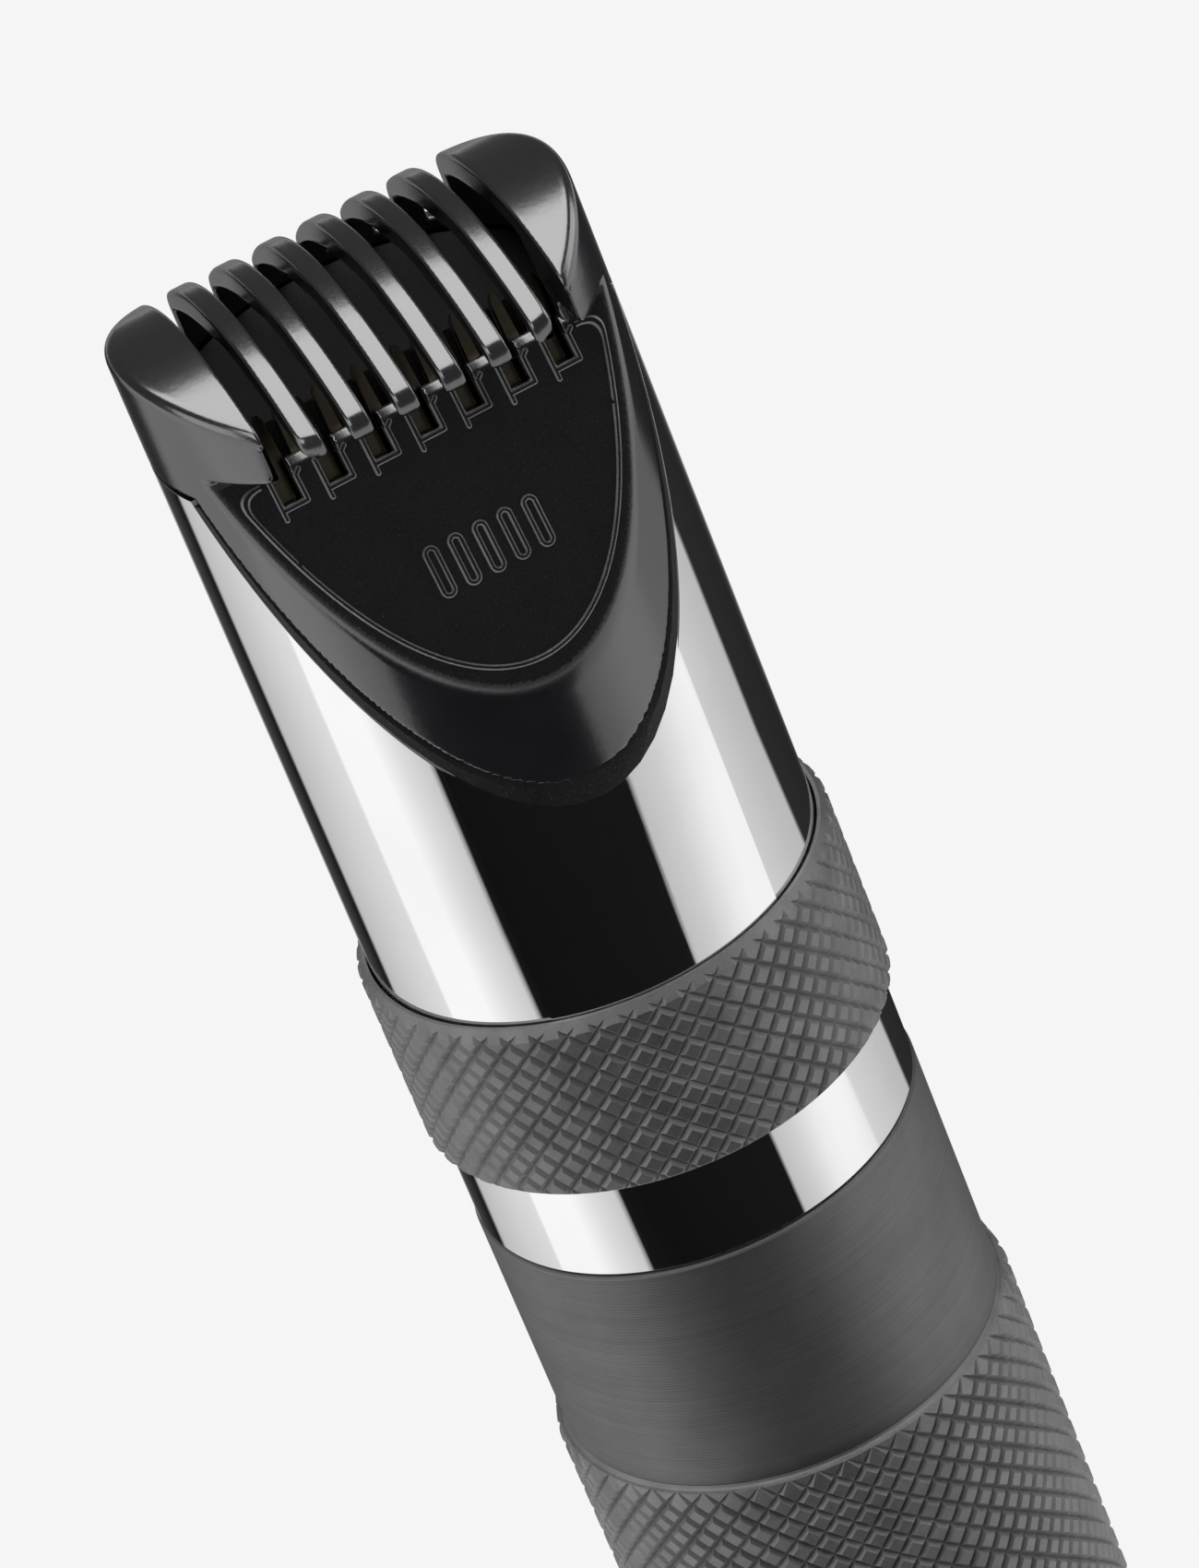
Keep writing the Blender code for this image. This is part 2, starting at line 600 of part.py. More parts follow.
def make_detent():
    """A leaf spring that lies in the tube's bore beside the switch and gives the ring its clicks."""
    outer = TUBE_BORE - GAP
    inner = outer - DETENT_THICKNESS
    low, top = Z_SWITCH - DETENT_HALF_HEIGHT, Z_SWITCH + DETENT_HALF_HEIGHT
    profile = [(inner, top), (outer, top), (outer, low), (inner, low)]
    leaf = turned("detent_spring", profile, STEEL, segments=48)
    trim_low, trim_high = (-FAR, -DETENT_REACH, -FAR), (-DETENT_REACH, DETENT_REACH, 4 * FAR)
    cut(leaf, box("leaf_trim", trim_low, trim_high), "INTERSECT")


def motor_shape(name, radius, low, high, surface):
    can = cylinder(name, radius, low, high, surface, segments=48)
    flats = box(name + "_flats", (-FAR, -MOTOR_HALF_DEPTH, 0), (FAR, MOTOR_HALF_DEPTH, 4 * FAR))
    return cut(can, flats, "INTERSECT")


def turned_screw(name, head_top, head_low, low):
    """A pan-headed screw along Z."""
    profile = [
        (0, head_top),
        (SCREW_HEAD_RADIUS, head_top),
        (SCREW_HEAD_RADIUS, head_low),
        (SCREW_RADIUS, head_low),
        (SCREW_RADIUS, low),
        (0, low),
    ]
    return turned(name, profile, STEEL, segments=SCREW_SEGMENTS, closed=False)


def make_motor():
    can = motor_shape("motor_can", MOTOR_RADIUS, Z_MOTOR_LOW, Z_MOTOR_TOP, STEEL)
    boss_top = Z_MOTOR_TOP + MOTOR_BOSS_HEIGHT
    boss = cylinder("motor_boss", MOTOR_BOSS_RADIUS, Z_MOTOR_TOP - MM, boss_top, segments=SMALL_SEGMENTS)
    cut(can, boss, "UNION")
    shaft_low = Z_MOTOR_TOP - SHAFT_DEPTH
    bore = cylinder("motor_bore", SHAFT_RADIUS + GAP, shaft_low - GAP, FAR * 4, segments=SMALL_SEGMENTS)
    cut(can, bore)
    bell_radius = MOTOR_RADIUS - MOTOR_BELL_STEP
    motor_shape("motor_end_bell", bell_radius, Z_BELL_LOW, Z_MOTOR_LOW - GAP, BLACK_MATTE)
    shaft_top = Z_CAM_TOP - CAM_TOP_WALL - GAP
    cylinder("motor_shaft", SHAFT_RADIUS, shaft_low, shaft_top, STEEL, segments=SMALL_SEGMENTS)
    mount = cylinder("motor_mount", TUBE_BORE - GAP, Z_MOTOR_TOP + GAP, Z_MOUNT_TOP, GREY_PLASTIC)
    hole = cylinder("mount_hole", MOTOR_BOSS_RADIUS + GAP, 0, FAR * 4, segments=SMALL_SEGMENTS)
    cut(mount, hole)
    head_low = Z_MOUNT_TOP + GAP
    screw_low = Z_MOTOR_TOP - MOTOR_SCREW_DEPTH
    for side, x in (("left", -MOTOR_SCREW_X), ("right", MOTOR_SCREW_X)):
        screw = turned_screw(f"motor_screw_{side}", head_low + MOTOR_SCREW_HEAD, head_low, screw_low)
        screw.location.x = x
        hole = cylinder(
            f"screw_hole_{side}",
            SCREW_RADIUS + GAP,
            screw_low - GAP,
            FAR * 4,
            centre=(x, 0),
            segments=SCREW_SEGMENTS,
        )
        cut(can, hole)
        cut(mount, hole)


def make_cam():
    """The brass cam on the motor's shaft, with the off-centre crank that reaches up to the fork."""
    cam = cylinder("eccentric_cam", CAM_RADIUS, Z_CAM_LOW, Z_CAM_TOP, BRASS, segments=32)
    crank = cylinder(
        "crank_pin",
        CRANK_RADIUS,
        Z_CAM_TOP - MM,
        Z_FORK_TOP + CRANK_PROUD,
        centre=(0, CUTTER_TRAVEL),
        segments=16,
    )
    cut(cam, crank, "UNION")
    bore_top = Z_CAM_TOP - CAM_TOP_WALL
    cut(cam, cylinder("cam_bore", SHAFT_RADIUS + GAP, 0, bore_top, segments=SMALL_SEGMENTS))


def blade_points(half_width, bar_low, stem_half_width, low, top, teeth):
    """The outline of a T-shaped blade with pointed teeth along its top."""
    root = top - TOOTH_LENGTH
    pitch = 2 * half_width / teeth
    points = [
        (-half_width, root),
        (-half_width, bar_low),
        (-stem_half_width, bar_low),
        (-stem_half_width, low),
        (stem_half_width, low),
        (stem_half_width, bar_low),
        (half_width, bar_low),
        (half_width, root),
    ]
    for k in range(teeth):
        middle = half_width - (k + 0.5) * pitch
        points += [
            (middle + pitch * TOOTH_ROOT_SHARE, root),
            (middle + pitch * TOOTH_NECK_SHARE, top - TOOTH_TIP),
            (middle + pitch * TOOTH_TIP_SHARE, top),
            (middle - pitch * TOOTH_TIP_SHARE, top),
            (middle - pitch * TOOTH_NECK_SHARE, top - TOOTH_TIP),
            (middle - pitch * TOOTH_ROOT_SHARE, root),
        ]
    return points


def make_blades():
    middle = Matrix.Translation((0, 0, (N_FIXED_TOP + N_FIXED_BACK) / 2))
    holes = [(side * BLADE_SCREW_X, U_BLADE_SCREW, SCREW_RADIUS + GAP) for side in (-1, 1)]
    points = blade_points(
        BLADE_HALF_WIDTH, U_BAR, BLADE_STEM_HALF_WIDTH, U_BLADE_LOW, U_BLADE_TOP, FIXED_TEETH
    )
    outline("fixed_blade", points, BLADE_THICKNESS / 2, STEEL, HEAD_FRAME @ middle, holes)
    middle = Matrix.Translation((0, 0, (N_MOVING_TOP + N_MOVING_BACK) / 2))
    points = blade_points(
        BLADE_HALF_WIDTH - CUTTER_TRAVEL - GAP,
        U_CUTTER_TOP - CUTTER_BAR_LENGTH,
        CUTTER_STEM_HALF_WIDTH,
        U_CUTTER_LOW,
        U_CUTTER_TOP,
        MOVING_TEETH,
    )
    outline("moving_blade", points, BLADE_THICKNESS / 2, STEEL, HEAD_FRAME @ middle)
    for side, x in (("left", -BLADE_SCREW_X), ("right", BLADE_SCREW_X)):
        low = N_HOUSING - BLADE_SCREW_DEPTH
        screw = turned_screw(f"blade_screw_{side}", N_SCREW_TOP, N_FIXED_TOP + GAP, low)
        screw.matrix_world = HEAD_FRAME @ Matrix.Translation((x, U_BLADE_SCREW, 0))


def make_blade_spring():
    """A bow of wire behind the cutter, which presses it against the fixed blade."""
    span = BLADE_STEM_HALF_WIDTH - SPRING_WIRE_RADIUS
    points = []
    for k in range(17):
        turn = math.pi * k / 16
        up = U_BAR - SPRING_DROP + SPRING_RISE * math.sin(turn) ** 2
        points.append((-span * math.cos(turn), up, N_SPRING))
    wire("blade_spring", points, SPRING_WIRE_RADIUS, STEEL, HEAD_FRAME)


def make_drive_fork():
    """The nylon fork on the cutter's stem, with a slot wide enough for the crank's whole circle."""
    half = FORK_SLOT_X + FORK_ARM
    low = (-half, -FORK_BACK_Y, Z_FORK_LOW)
    fork = box("drive_fork", low, (half, FORK_BACK_Y, Z_FORK_TOP), NYLON)
    neck_low = (-CUTTER_STEM_HALF_WIDTH, -TUBE_RADIUS, Z_FORK_LOW)
    neck_high = (CUTTER_STEM_HALF_WIDTH, -FORK_SLOT_Y - FORK_ARM / 2, Z_FORK_TOP)
    cut(fork, box("fork_neck", neck_low, neck_high), "UNION")
    slot_low = (-FORK_SLOT_X, -FORK_SLOT_Y, 0)
    cut(fork, box("fork_slot", slot_low, (FORK_SLOT_X, FORK_SLOT_Y, 4 * FAR)))
    cut(fork, in_front_of("fork_face", HEAD_FRAME, N_MOVING_BACK - GAP))


def make_housing_lip():
    """The band between the comb's skirt and the polished tube, as wide as the tube."""
    inner = HOUSING_RADIUS - HOUSING_WALL / 2
    low, top = Z_HOUSING_LOW, Z_RIM - GAP
    lip = turned("housing_lip", [(inner, top), (TUBE_RADIUS, top), (TUBE_RADIUS, low), (inner, low)])
    clear = GAP * math.cos(CUT_ANGLE)
    cut(lip, in_front_of("lip_top", oblique_frame(Z_CUT + LIP_DEPTH), -clear))
    return cut(lip, behind("lip_base", oblique_frame(Z_CUT), clear))


def cut_pockets(housing):
    """The blades' T-shaped pocket in the housing's slanted face, deeper behind the cutter."""
    bar_low = U_BAR - BLADE_CLEARANCE
    bar_half = BLADE_HALF_WIDTH + BLADE_CLEARANCE
    stem_half = BLADE_STEM_HALF_WIDTH + BLADE_CLEARANCE
    stem_low = U_CUTTER_LOW - FORK_BELOW_STEM - BLADE_CLEARANCE
    inner_half = BLADE_SCREW_X - SCREW_HEAD_RADIUS - GAP
    spring_low = U_BAR - SPRING_DROP - SPRING_WIRE_RADIUS - GAP
    top = bar_low + MM
    pockets = (
        ("blade_pocket", bar_half, bar_low, N_HOUSING, FAR),
        ("stem_pocket", stem_half, stem_low, N_FIXED_BACK - GAP, top),
        ("cutter_pocket", inner_half, stem_low + SEAM, N_HOUSING + SEAM, top),
        ("spring_pocket", stem_half - SEAM, spring_low, N_HOUSING + 2 * SEAM, top),
    )
    for name, half, low, back, high in pockets:
        cut(housing, box(name, (-half, low, back), (half, high, FAR), frame=HEAD_FRAME))


def make_head_housing():
    housing = cylinder("head_housing", HOUSING_RADIUS, Z_HOUSING_LOW, Z_RIM + HOUSING_PROUD, BLACK_MATTE)
    cut(housing, in_front_of("housing_face", HEAD_FRAME, N_PLATE_BACK - GAP))
    cut(housing, make_housing_lip(), "UNION")
    cut_pockets(housing)
    cavity_top = Z_FORK_TOP + HOUSING_CAVITY_RISE
    cavity = cylinder("housing_cavity", HOUSING_RADIUS - HOUSING_WALL, Z_HOUSING_LOW - MM, cavity_top)
    cut(cavity, in_front_of("cavity_face", HEAD_FRAME, N_HOUSING - HOUSING_FLOOR))
    cut(housing, cavity)
    window_half = CUTTER_STEM_HALF_WIDTH + CUTTER_TRAVEL + BLADE_CLEARANCE
    low = (-window_half, -TUBE_RADIUS, Z_FORK_LOW - FORK_WINDOW_GAP)
    window = box("fork_window", low, (window_half, 0, Z_FORK_TOP + FORK_WINDOW_GAP))
    cut(window, in_front_of("window_face", HEAD_FRAME, N_HOUSING + GAP))
    cut(housing, window)
    hole_low = N_HOUSING - BLADE_SCREW_DEPTH - GAP
    for side, x in (("left", -BLADE_SCREW_X), ("right", BLADE_SCREW_X)):
        hole = cylinder(
            f"boss_hole_{side}",
            SCREW_RADIUS + GAP,
            hole_low,
            0,
            centre=(x, U_BLADE_SCREW),
            segments=SCREW_SEGMENTS,
            frame=HEAD_FRAME,
        )
        cut(housing, hole)


def arch(drop, centre, crest, start, end, steps=24):
    """Points (y, z) along a circle. Its top is (centre, crest), and it falls by drop to the tube's rear."""
    span = TUBE_RADIUS - centre
    radius = (span**2 + drop**2) / (2 * drop)
    points = []
    for k in range(steps + 1):
        y = start + (end - start) * k / steps
        points.append((y, crest - radius + math.sqrt(radius**2 - (y - centre) ** 2)))
    return points


def plate_y(height, depth=0.0):
    """Where the plate's plane, moved back by depth, stands at a height."""
    return -TUBE_RADIUS + (height - Z_PLATE) / math.tan(PLATE_ANGLE) + depth / math.sin(PLATE_ANGLE)


def rim_z(y):
    return Z_CUT + LIP_DEPTH + (y + TUBE_RADIUS) * math.tan(CUT_ANGLE)


def make_guide_comb():
    """The comb's side view is cut out of a cylinder, then hollowed, slotted and pierced."""
    edge = TUBE_RADIUS + MM
    rear = Z_RIM + GAP
    corner = (rear - rim_z(0)) / math.tan(CUT_ANGLE)
    side_view = [(-edge, rim_z(-edge)), (corner, rear), (edge, rear)]
    side_view += arch(ARCH_DROP, ARCH_CENTRE, Z_CREST, edge, -edge)
    low = Z_PLATE - MM
    side_view += [(-edge, Z_BROW), (plate_y(Z_BROW), Z_BROW), (plate_y(low), low)]
    comb = prism("guide_comb", side_view, edge, BLACK_GLOSS)
    cut(comb, cylinder("comb_round", TUBE_RADIUS, Z_CUT, Z_CREST + MM), "INTERSECT")

    inner_crest = Z_CREST - TINE_DEPTH
    meeting = plate_y(inner_crest, PLATE_THICKNESS)
    hollow = arch(INNER_ARCH_DROP, INNER_ARCH_CENTRE, inner_crest, edge, meeting)
    low = Z_CUT - MM
    hollow += [(plate_y(low, PLATE_THICKNESS), low), (edge, low)]
    cavity = prism("comb_cavity", hollow, edge)
    cut(cavity, cylinder("comb_bore", COMB_BORE, Z_CUT - MM, Z_CREST), "INTERSECT")
    cut(comb, cavity)

    slots_half = (SLOT_COUNT - 1) / 2 * SLOT_PITCH + SLOT_WIDTH / 2
    room = [(0, Z_PLATE_TOP), (-edge - MM, Z_PLATE_TOP), (-edge - MM, Z_CREST + MM)]
    room += [(-TINE_REACH, Z_CREST + MM)]
    room += arch(INNER_ARCH_DROP, INNER_ARCH_CENTRE, inner_crest - SEAM, -TINE_REACH, 0, 12)
    cut(comb, prism("tine_room", room, slots_half - SEAM))
    window_low = U_PLATE_TOP - WINDOW_HEIGHT / math.sin(PLATE_ANGLE)
    for k in range(SLOT_COUNT):
        x = (k - (SLOT_COUNT - 1) / 2) * SLOT_PITCH
        low = (x - SLOT_WIDTH / 2, -FAR, Z_RIM + GAP + REAR_RIM_HEIGHT)
        cut(comb, box(f"slot_{k + 1}", low, (x + SLOT_WIDTH / 2, FAR, Z_CREST + MM)))
        low = (x - WINDOW_WIDTH / 2, window_low, -2 * PLATE_THICKNESS)
        high = (x + WINDOW_WIDTH / 2, U_PLATE_TOP + MM, PLATE_THICKNESS)
        cut(comb, box(f"window_{k + 1}", low, high, frame=HEAD_FRAME))


def make_battery():
    """The cell between its two tabs, in a cradle that is open towards the circuit board."""
    centre = (0, CELL_Y)
    cylinder("battery_cell", CELL_RADIUS, Z_CELL_LOW, Z_CELL_TOP, CELL_WRAP, centre, 48)
    for name, low in (
        ("battery_tab_minus", Z_CELL_LOW - GAP - TAB_THICKNESS),
        ("battery_tab_plus", Z_CELL_TOP + GAP),
    ):
        cylinder(name, TAB_RADIUS, low, low + TAB_THICKNESS, BRASS, centre, SMALL_SEGMENTS)
    low = Z_CELL_LOW - CRADLE_BELOW
    top = Z_CELL_TOP + CRADLE_ABOVE
    radius = CRADLE_BORE + CRADLE_WALL
    cradle = cylinder("battery_cradle", radius, low + MM, top - MM, GREY_PLASTIC, centre, 48)
    open_low = (-FAR, CELL_Y + CELL_RADIUS * CRADLE_WRAP, low)
    cut(cradle, box("cradle_open_side", open_low, (FAR, FAR, top)))
    low_wall = cylinder("cradle_low_wall", SPIGOT_RADIUS, low, Z_CRADLE_FLOOR, segments=48)
    cut(cradle, low_wall, "UNION")
    top_wall = cylinder("cradle_top_wall", SLEEVE_BORE - GAP, top - CRADLE_END, top, segments=48)
    cut(cradle, top_wall, "UNION")
    bore = cylinder("cradle_bore", CRADLE_BORE, Z_CRADLE_FLOOR, top - CRADLE_END, None, centre, 48)
    cut(cradle, bore)
    notch_low = (-FAR, BOARD_LOW_Y - GAP, Z_CELL_TOP)
    cut(cradle, box("board_notch", notch_low, (FAR, FAR, top + MM)))


def make_circuit_board():
    top = Z_SWITCH + SLIDER_HEIGHT / 2 + BOARD_ABOVE_SWITCH
    half = BOARD_HALF_WIDTH
    box("circuit_board", (-half, BOARD_LOW_Y, Z_BOARD_LOW), (half, BOARD_TOP_Y, top), BOARD_GREEN)
    high = Vector((half - CHIP_INSET, BOARD_TOP_Y + GAP + CHIP_SIZE.y, Z_CELL_LOW + CHIP_ABOVE_CELL))
    box("charge_chip", high - CHIP_SIZE, high, BLACK_MATTE)


def lead(name, points, surface):
    """A short insulated wire on a smooth curve through a few points."""
    count = 12
    spline = []
    for k in range(count + 1):
        t = k / count
        ring = [Vector(point) for point in points]
        while len(ring) > 1:
            ring = [a.lerp(b, t) for a, b in zip(ring, ring[1:])]
        spline.append(ring[0])
    return wire(name, spline, LEAD_RADIUS, surface)


def make_leads():
    """The motor's two leads up from the board, and the cell's lead at the board's low end."""
    end_y = BOARD_LOW_Y - GAP - LEAD_RADIUS
    bell = Z_BELL_LOW - GAP
    board_z = Z_CELL_TOP + CRADLE_ABOVE + LEAD_BEND / 2
    bend_y = end_y - LEAD_BEND
    for side, x, surface in (("red", LEAD_X, RED_LEAD), ("black", -LEAD_X, BLACK_LEAD)):
        lead(
            f"motor_lead_{side}",
            [(x, end_y, board_z), (x, bend_y, board_z), (x, LEAD_BELL_Y, bell - MM), (x, LEAD_BELL_Y, bell)],
            surface,
        )
    x = BOARD_HALF_WIDTH - LEAD_RADIUS - MM
    low = Z_BOARD_LOW + LEAD_RADIUS
    points = [(x, end_y, low + LEAD_BEND), (x, end_y, low), (x, end_y - LEAD_BEND / 2, low)]
    lead("battery_lead_black", points, BLACK_LEAD)


def main():
    make_end_cap()
    make_charge_socket()
    make_grip()
    make_coupling()
    make_chrome_tube()
    make_twist_ring()
    make_switch()
    make_detent()
    make_motor()
    make_cam()
    make_blades()
    make_blade_spring()
    make_drive_fork()
    make_head_housing()
    make_guide_comb()
    make_battery()
    make_circuit_board()
    make_leads()


main()
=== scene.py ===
"""The look of the cordless beard trimmer, built around its CAD frame.

Sizes in this script are in millimetres until a mesh is made. -Y is the side that the guide comb's
flat plate faces and +Z runs up the handle. On the plate, u runs up its face from its lowest point.
"""

import math

import bmesh
import bpy
import numpy as np
from mathutils import Matrix, Vector


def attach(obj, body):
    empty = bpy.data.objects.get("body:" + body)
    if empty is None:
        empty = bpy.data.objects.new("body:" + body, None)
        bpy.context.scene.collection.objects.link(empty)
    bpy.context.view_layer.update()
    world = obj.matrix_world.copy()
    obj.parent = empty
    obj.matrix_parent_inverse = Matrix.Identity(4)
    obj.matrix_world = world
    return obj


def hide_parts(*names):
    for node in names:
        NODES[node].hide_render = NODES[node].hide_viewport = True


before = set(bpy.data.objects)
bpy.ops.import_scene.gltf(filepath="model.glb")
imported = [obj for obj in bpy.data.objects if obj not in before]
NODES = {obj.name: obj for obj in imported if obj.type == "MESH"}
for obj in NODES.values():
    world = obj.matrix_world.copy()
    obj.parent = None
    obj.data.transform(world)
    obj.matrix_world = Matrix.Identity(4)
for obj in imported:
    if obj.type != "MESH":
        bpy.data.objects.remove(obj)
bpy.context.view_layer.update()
scene = bpy.context.scene
MM = 0.001

# Sizes that the looks share with the CAD part
TUBE = 17.0
Z_GRIP_LOW, Z_COLLAR_LOW, Z_COLLAR_TOP = 5.3, 68.6, 88.6
Z_TUBE_LOW, Z_RING_LOW, Z_RING_TOP = 88.9, 97.05, 112.0
Z_CUT, Z_RIM, Z_PLATE, Z_PLATE_TOP, Z_BROW, Z_CREST = 127.8, 156.5, 138.0, 157.6, 158.75, 165.8
LIP_DEPTH = 1.8
CUT_ANGLE = math.radians(66.67)
PLATE_ANGLE = math.radians(65.0)
U_PLATE_TOP = (Z_PLATE_TOP - Z_PLATE) / math.sin(PLATE_ANGLE)
COLLAR, KNURL, GRIP_BORE = 17.13, 17.95, 14.5
RING_BORE, RING_OUTER = 17.15, 18.0
TUBE_BORE = 16.0
PIN_SLOT_HALF, PIN_SLOT_LOW, PIN_SLOT_TOP = 5.66, 103.025, 106.025
PIN_END = 17.4  # short of the ring's knurled surface
SLOT_PITCH, SLOT_HALF, SLOT_LOW = 3.5, 0.925, 158.4
WINDOW_HALF, WINDOW_LOW = 0.735, 18.98
COMB_BORE, PLATE_THICKNESS = 15.6, 1.3
TINE_DEPTH, TINE_REACH, TINES_HALF_WIDTH = 2.3, 14.5, 11.425
ARCH_DROP, INNER_ARCH_DROP = 6.3, 4.8
COMB_OVER_RIM = 0.3


# ---------------------------------------------------------------- materials


class Nodes:
    """A material's node tree, with short calls for the nodes that the finishes share."""

    def __init__(self, name):
        self.made = bpy.data.materials.new(name)
        self.made.use_nodes = True
        self.tree = self.made.node_tree
        self.shader = self.tree.nodes["Principled BSDF"]
        place = self.tree.nodes.new("ShaderNodeTexCoord")
        self.place = place.outputs["Object"]

    def add(self, kind, inputs=None, **settings):
        node = self.tree.nodes.new(kind)
        for key, value in settings.items():
            setattr(node, key, value)
        for key, value in (inputs or {}).items():
            socket = node.inputs[key]
            if isinstance(value, bpy.types.NodeSocket):
                self.tree.links.new(value, socket)
            else:
                socket.default_value = value
        return node

    def link(self, source, target):
        self.tree.links.new(source, self.shader.inputs[target])

    def scaled(self, scale):
        """The place on the object, stretched by a scale for each axis."""
        node = self.add("ShaderNodeVectorMath", {0: self.place, 1: scale}, operation="MULTIPLY")
        return node.outputs[0]

    def noise(self, per_mm, detail=3.0, roughness=0.55, stretch=(1, 1, 1)):
        place = self.scaled(tuple(1000 * s for s in stretch))
        inputs = {"Vector": place, "Scale": per_mm, "Detail": detail, "Roughness": roughness}
        return self.add("ShaderNodeTexNoise", inputs).outputs["Fac"]

    def ramp(self, value, *stops):
        """A ramp from (place, grey or colour) stops."""
        node = self.add("ShaderNodeValToRGB", {"Fac": value})
        ramp = node.color_ramp
        while len(ramp.elements) < len(stops):
            ramp.elements.new(0.5)
        for element, (at, shade) in zip(ramp.elements, stops):
            element.position = at
            element.color = (*shade, 1) if isinstance(shade, tuple) else (shade, shade, shade, 1)
        return node.outputs["Color"]

    def maths(self, operation, a, b=0.0):
        return self.add("ShaderNodeMath", {0: a, 1: b}, operation=operation).outputs[0]

    def bump(self, height, distance_mm, strength=1.0, below=None):
        inputs = {"Height": height, "Distance": distance_mm * MM, "Strength": strength}
        if below is not None:
            inputs["Normal"] = below
        return self.add("ShaderNodeBump", inputs).outputs["Normal"]

    def set(self, **inputs):
        for key, value in inputs.items():
            self.shader.inputs[key.replace("_", " ")].default_value = value


def chrome():
    """Polished chrome with a faint drawn grain along the tube."""
    m = Nodes("look_chrome")
    m.set(Metallic=1.0)
    grain = m.noise(9.0, 4.0, 0.6, (1, 1, 0.02))
    cloud = m.noise(0.12, 2.0)
    m.link(m.ramp(cloud, (0.3, (0.93, 0.93, 0.935)), (0.7, (0.965, 0.965, 0.965))), "Base Color")
    m.link(m.ramp(grain, (0.35, 0.012), (0.75, 0.05)), "Roughness")
    m.link(m.bump(grain, 0.0004), "Normal")
    return m.made


def turned_metal(name, light, dark, rough, lines_mm, depth):
    """Turned metal: lines round its axis, with a fine grain and faint wear."""
    m = Nodes(name)
    m.set(Metallic=1.0)
    split = m.add("ShaderNodeSeparateXYZ", {0: m.place})
    wander = m.maths("MULTIPLY", m.noise(0.25, 2.0), 1.2)
    turns = m.maths("ADD", m.maths("MULTIPLY", split.outputs[2], 2000 * math.pi / lines_mm), wander)
    groove = m.maths("MULTIPLY", m.maths("SINE", turns), 0.22)
    lines = m.maths("ADD", m.noise(1.0, 5.0, 0.7, (0.02, 0.02, 1 / lines_mm)), groove)
    grain = m.noise(11.0, 3.0)
    cloud = m.noise(0.22, 3.0)
    mixed = m.maths("ADD", m.maths("MULTIPLY", lines, 0.6), m.maths("MULTIPLY", cloud, 0.4))
    m.link(m.ramp(mixed, (0.35, dark), (0.65, light)), "Base Color")
    m.link(m.ramp(grain, (0.3, rough - 0.05), (0.7, rough + 0.06)), "Roughness")
    fine = m.bump(grain, depth * 0.5)
    m.link(m.bump(lines, depth, 1.0, fine), "Normal")
    return m.made


def knurl_metal():
    """Dark anodised aluminium, with pits and slanting tool marks on the diamonds."""
    m = Nodes("look_knurl")
    m.set(Metallic=1.0)
    pits = m.noise(5.5, 4.0, 0.65)
    marks = m.noise(2.2, 3.0, 0.6, (1, 1, 5.0))
    cloud = m.noise(0.35, 2.0)
    shade = m.maths("ADD", m.maths("MULTIPLY", pits, 0.5), m.maths("MULTIPLY", cloud, 0.5))
    m.link(m.ramp(shade, (0.32, (0.19, 0.19, 0.192)), (0.68, (0.30, 0.30, 0.302))), "Base Color")
    m.link(m.ramp(pits, (0.3, 0.5), (0.72, 0.64)), "Roughness")
    m.link(m.bump(marks, 0.014, 1.0, m.bump(pits, 0.014)), "Normal")
    return m.made


def moulded(name, light, dark, rough, grain_per_mm, depth, glint_speck_level=0.0, specular=0.5):
    """Moulded plastic with a fine grain, and, where the speck level is over 0, bright specks in the colour:
    painted glints for a glittering texture.
    """
    m = Nodes(name)
    m.set(Specular_IOR_Level=specular)
    grain = m.noise(grain_per_mm, 3.0, 0.6)
    cloud = m.noise(0.3, 3.0)
    colour = m.ramp(cloud, (0.3, dark), (0.7, light))
    if glint_speck_level:
        # Painted glints: bright specks in the colour stand in for the sparkle of textured plastic.
        specks = m.ramp(m.noise(13.0, 2.0, 0.5), (0.66, 0.0), (0.74, 1.0))
        glint_colour = (glint_speck_level, glint_speck_level * 0.97, glint_speck_level * 0.92, 1)
        mix = m.add("ShaderNodeMix", {0: specks, 6: colour, 7: glint_colour}, data_type="RGBA")
        colour = mix.outputs[2]
    m.link(colour, "Base Color")
    m.link(m.ramp(grain, (0.3, max(0.02, rough - 0.05)), (0.7, rough + 0.07)), "Roughness")
    m.link(m.bump(grain, depth), "Normal")
    return m.made


def comb_gloss():
    """Glossy black plastic, a little hazy, with a faint orange peel."""
    m = Nodes("look_comb_gloss")
    peel = m.noise(1.6, 2.0, 0.5)
    fine = m.noise(7.0, 3.0, 0.6)
    cloud = m.noise(0.3, 3.0)
    m.link(m.ramp(cloud, (0.3, (0.006, 0.006, 0.009)), (0.7, (0.011, 0.011, 0.015))), "Base Color")
    m.link(m.ramp(fine, (0.3, 0.15), (0.7, 0.23)), "Roughness")
    m.set(IOR=1.72, Specular_IOR_Level=1.0)
    m.link(m.bump(fine, 0.0012, 1.0, m.bump(peel, 0.006)), "Normal")
    return m.made


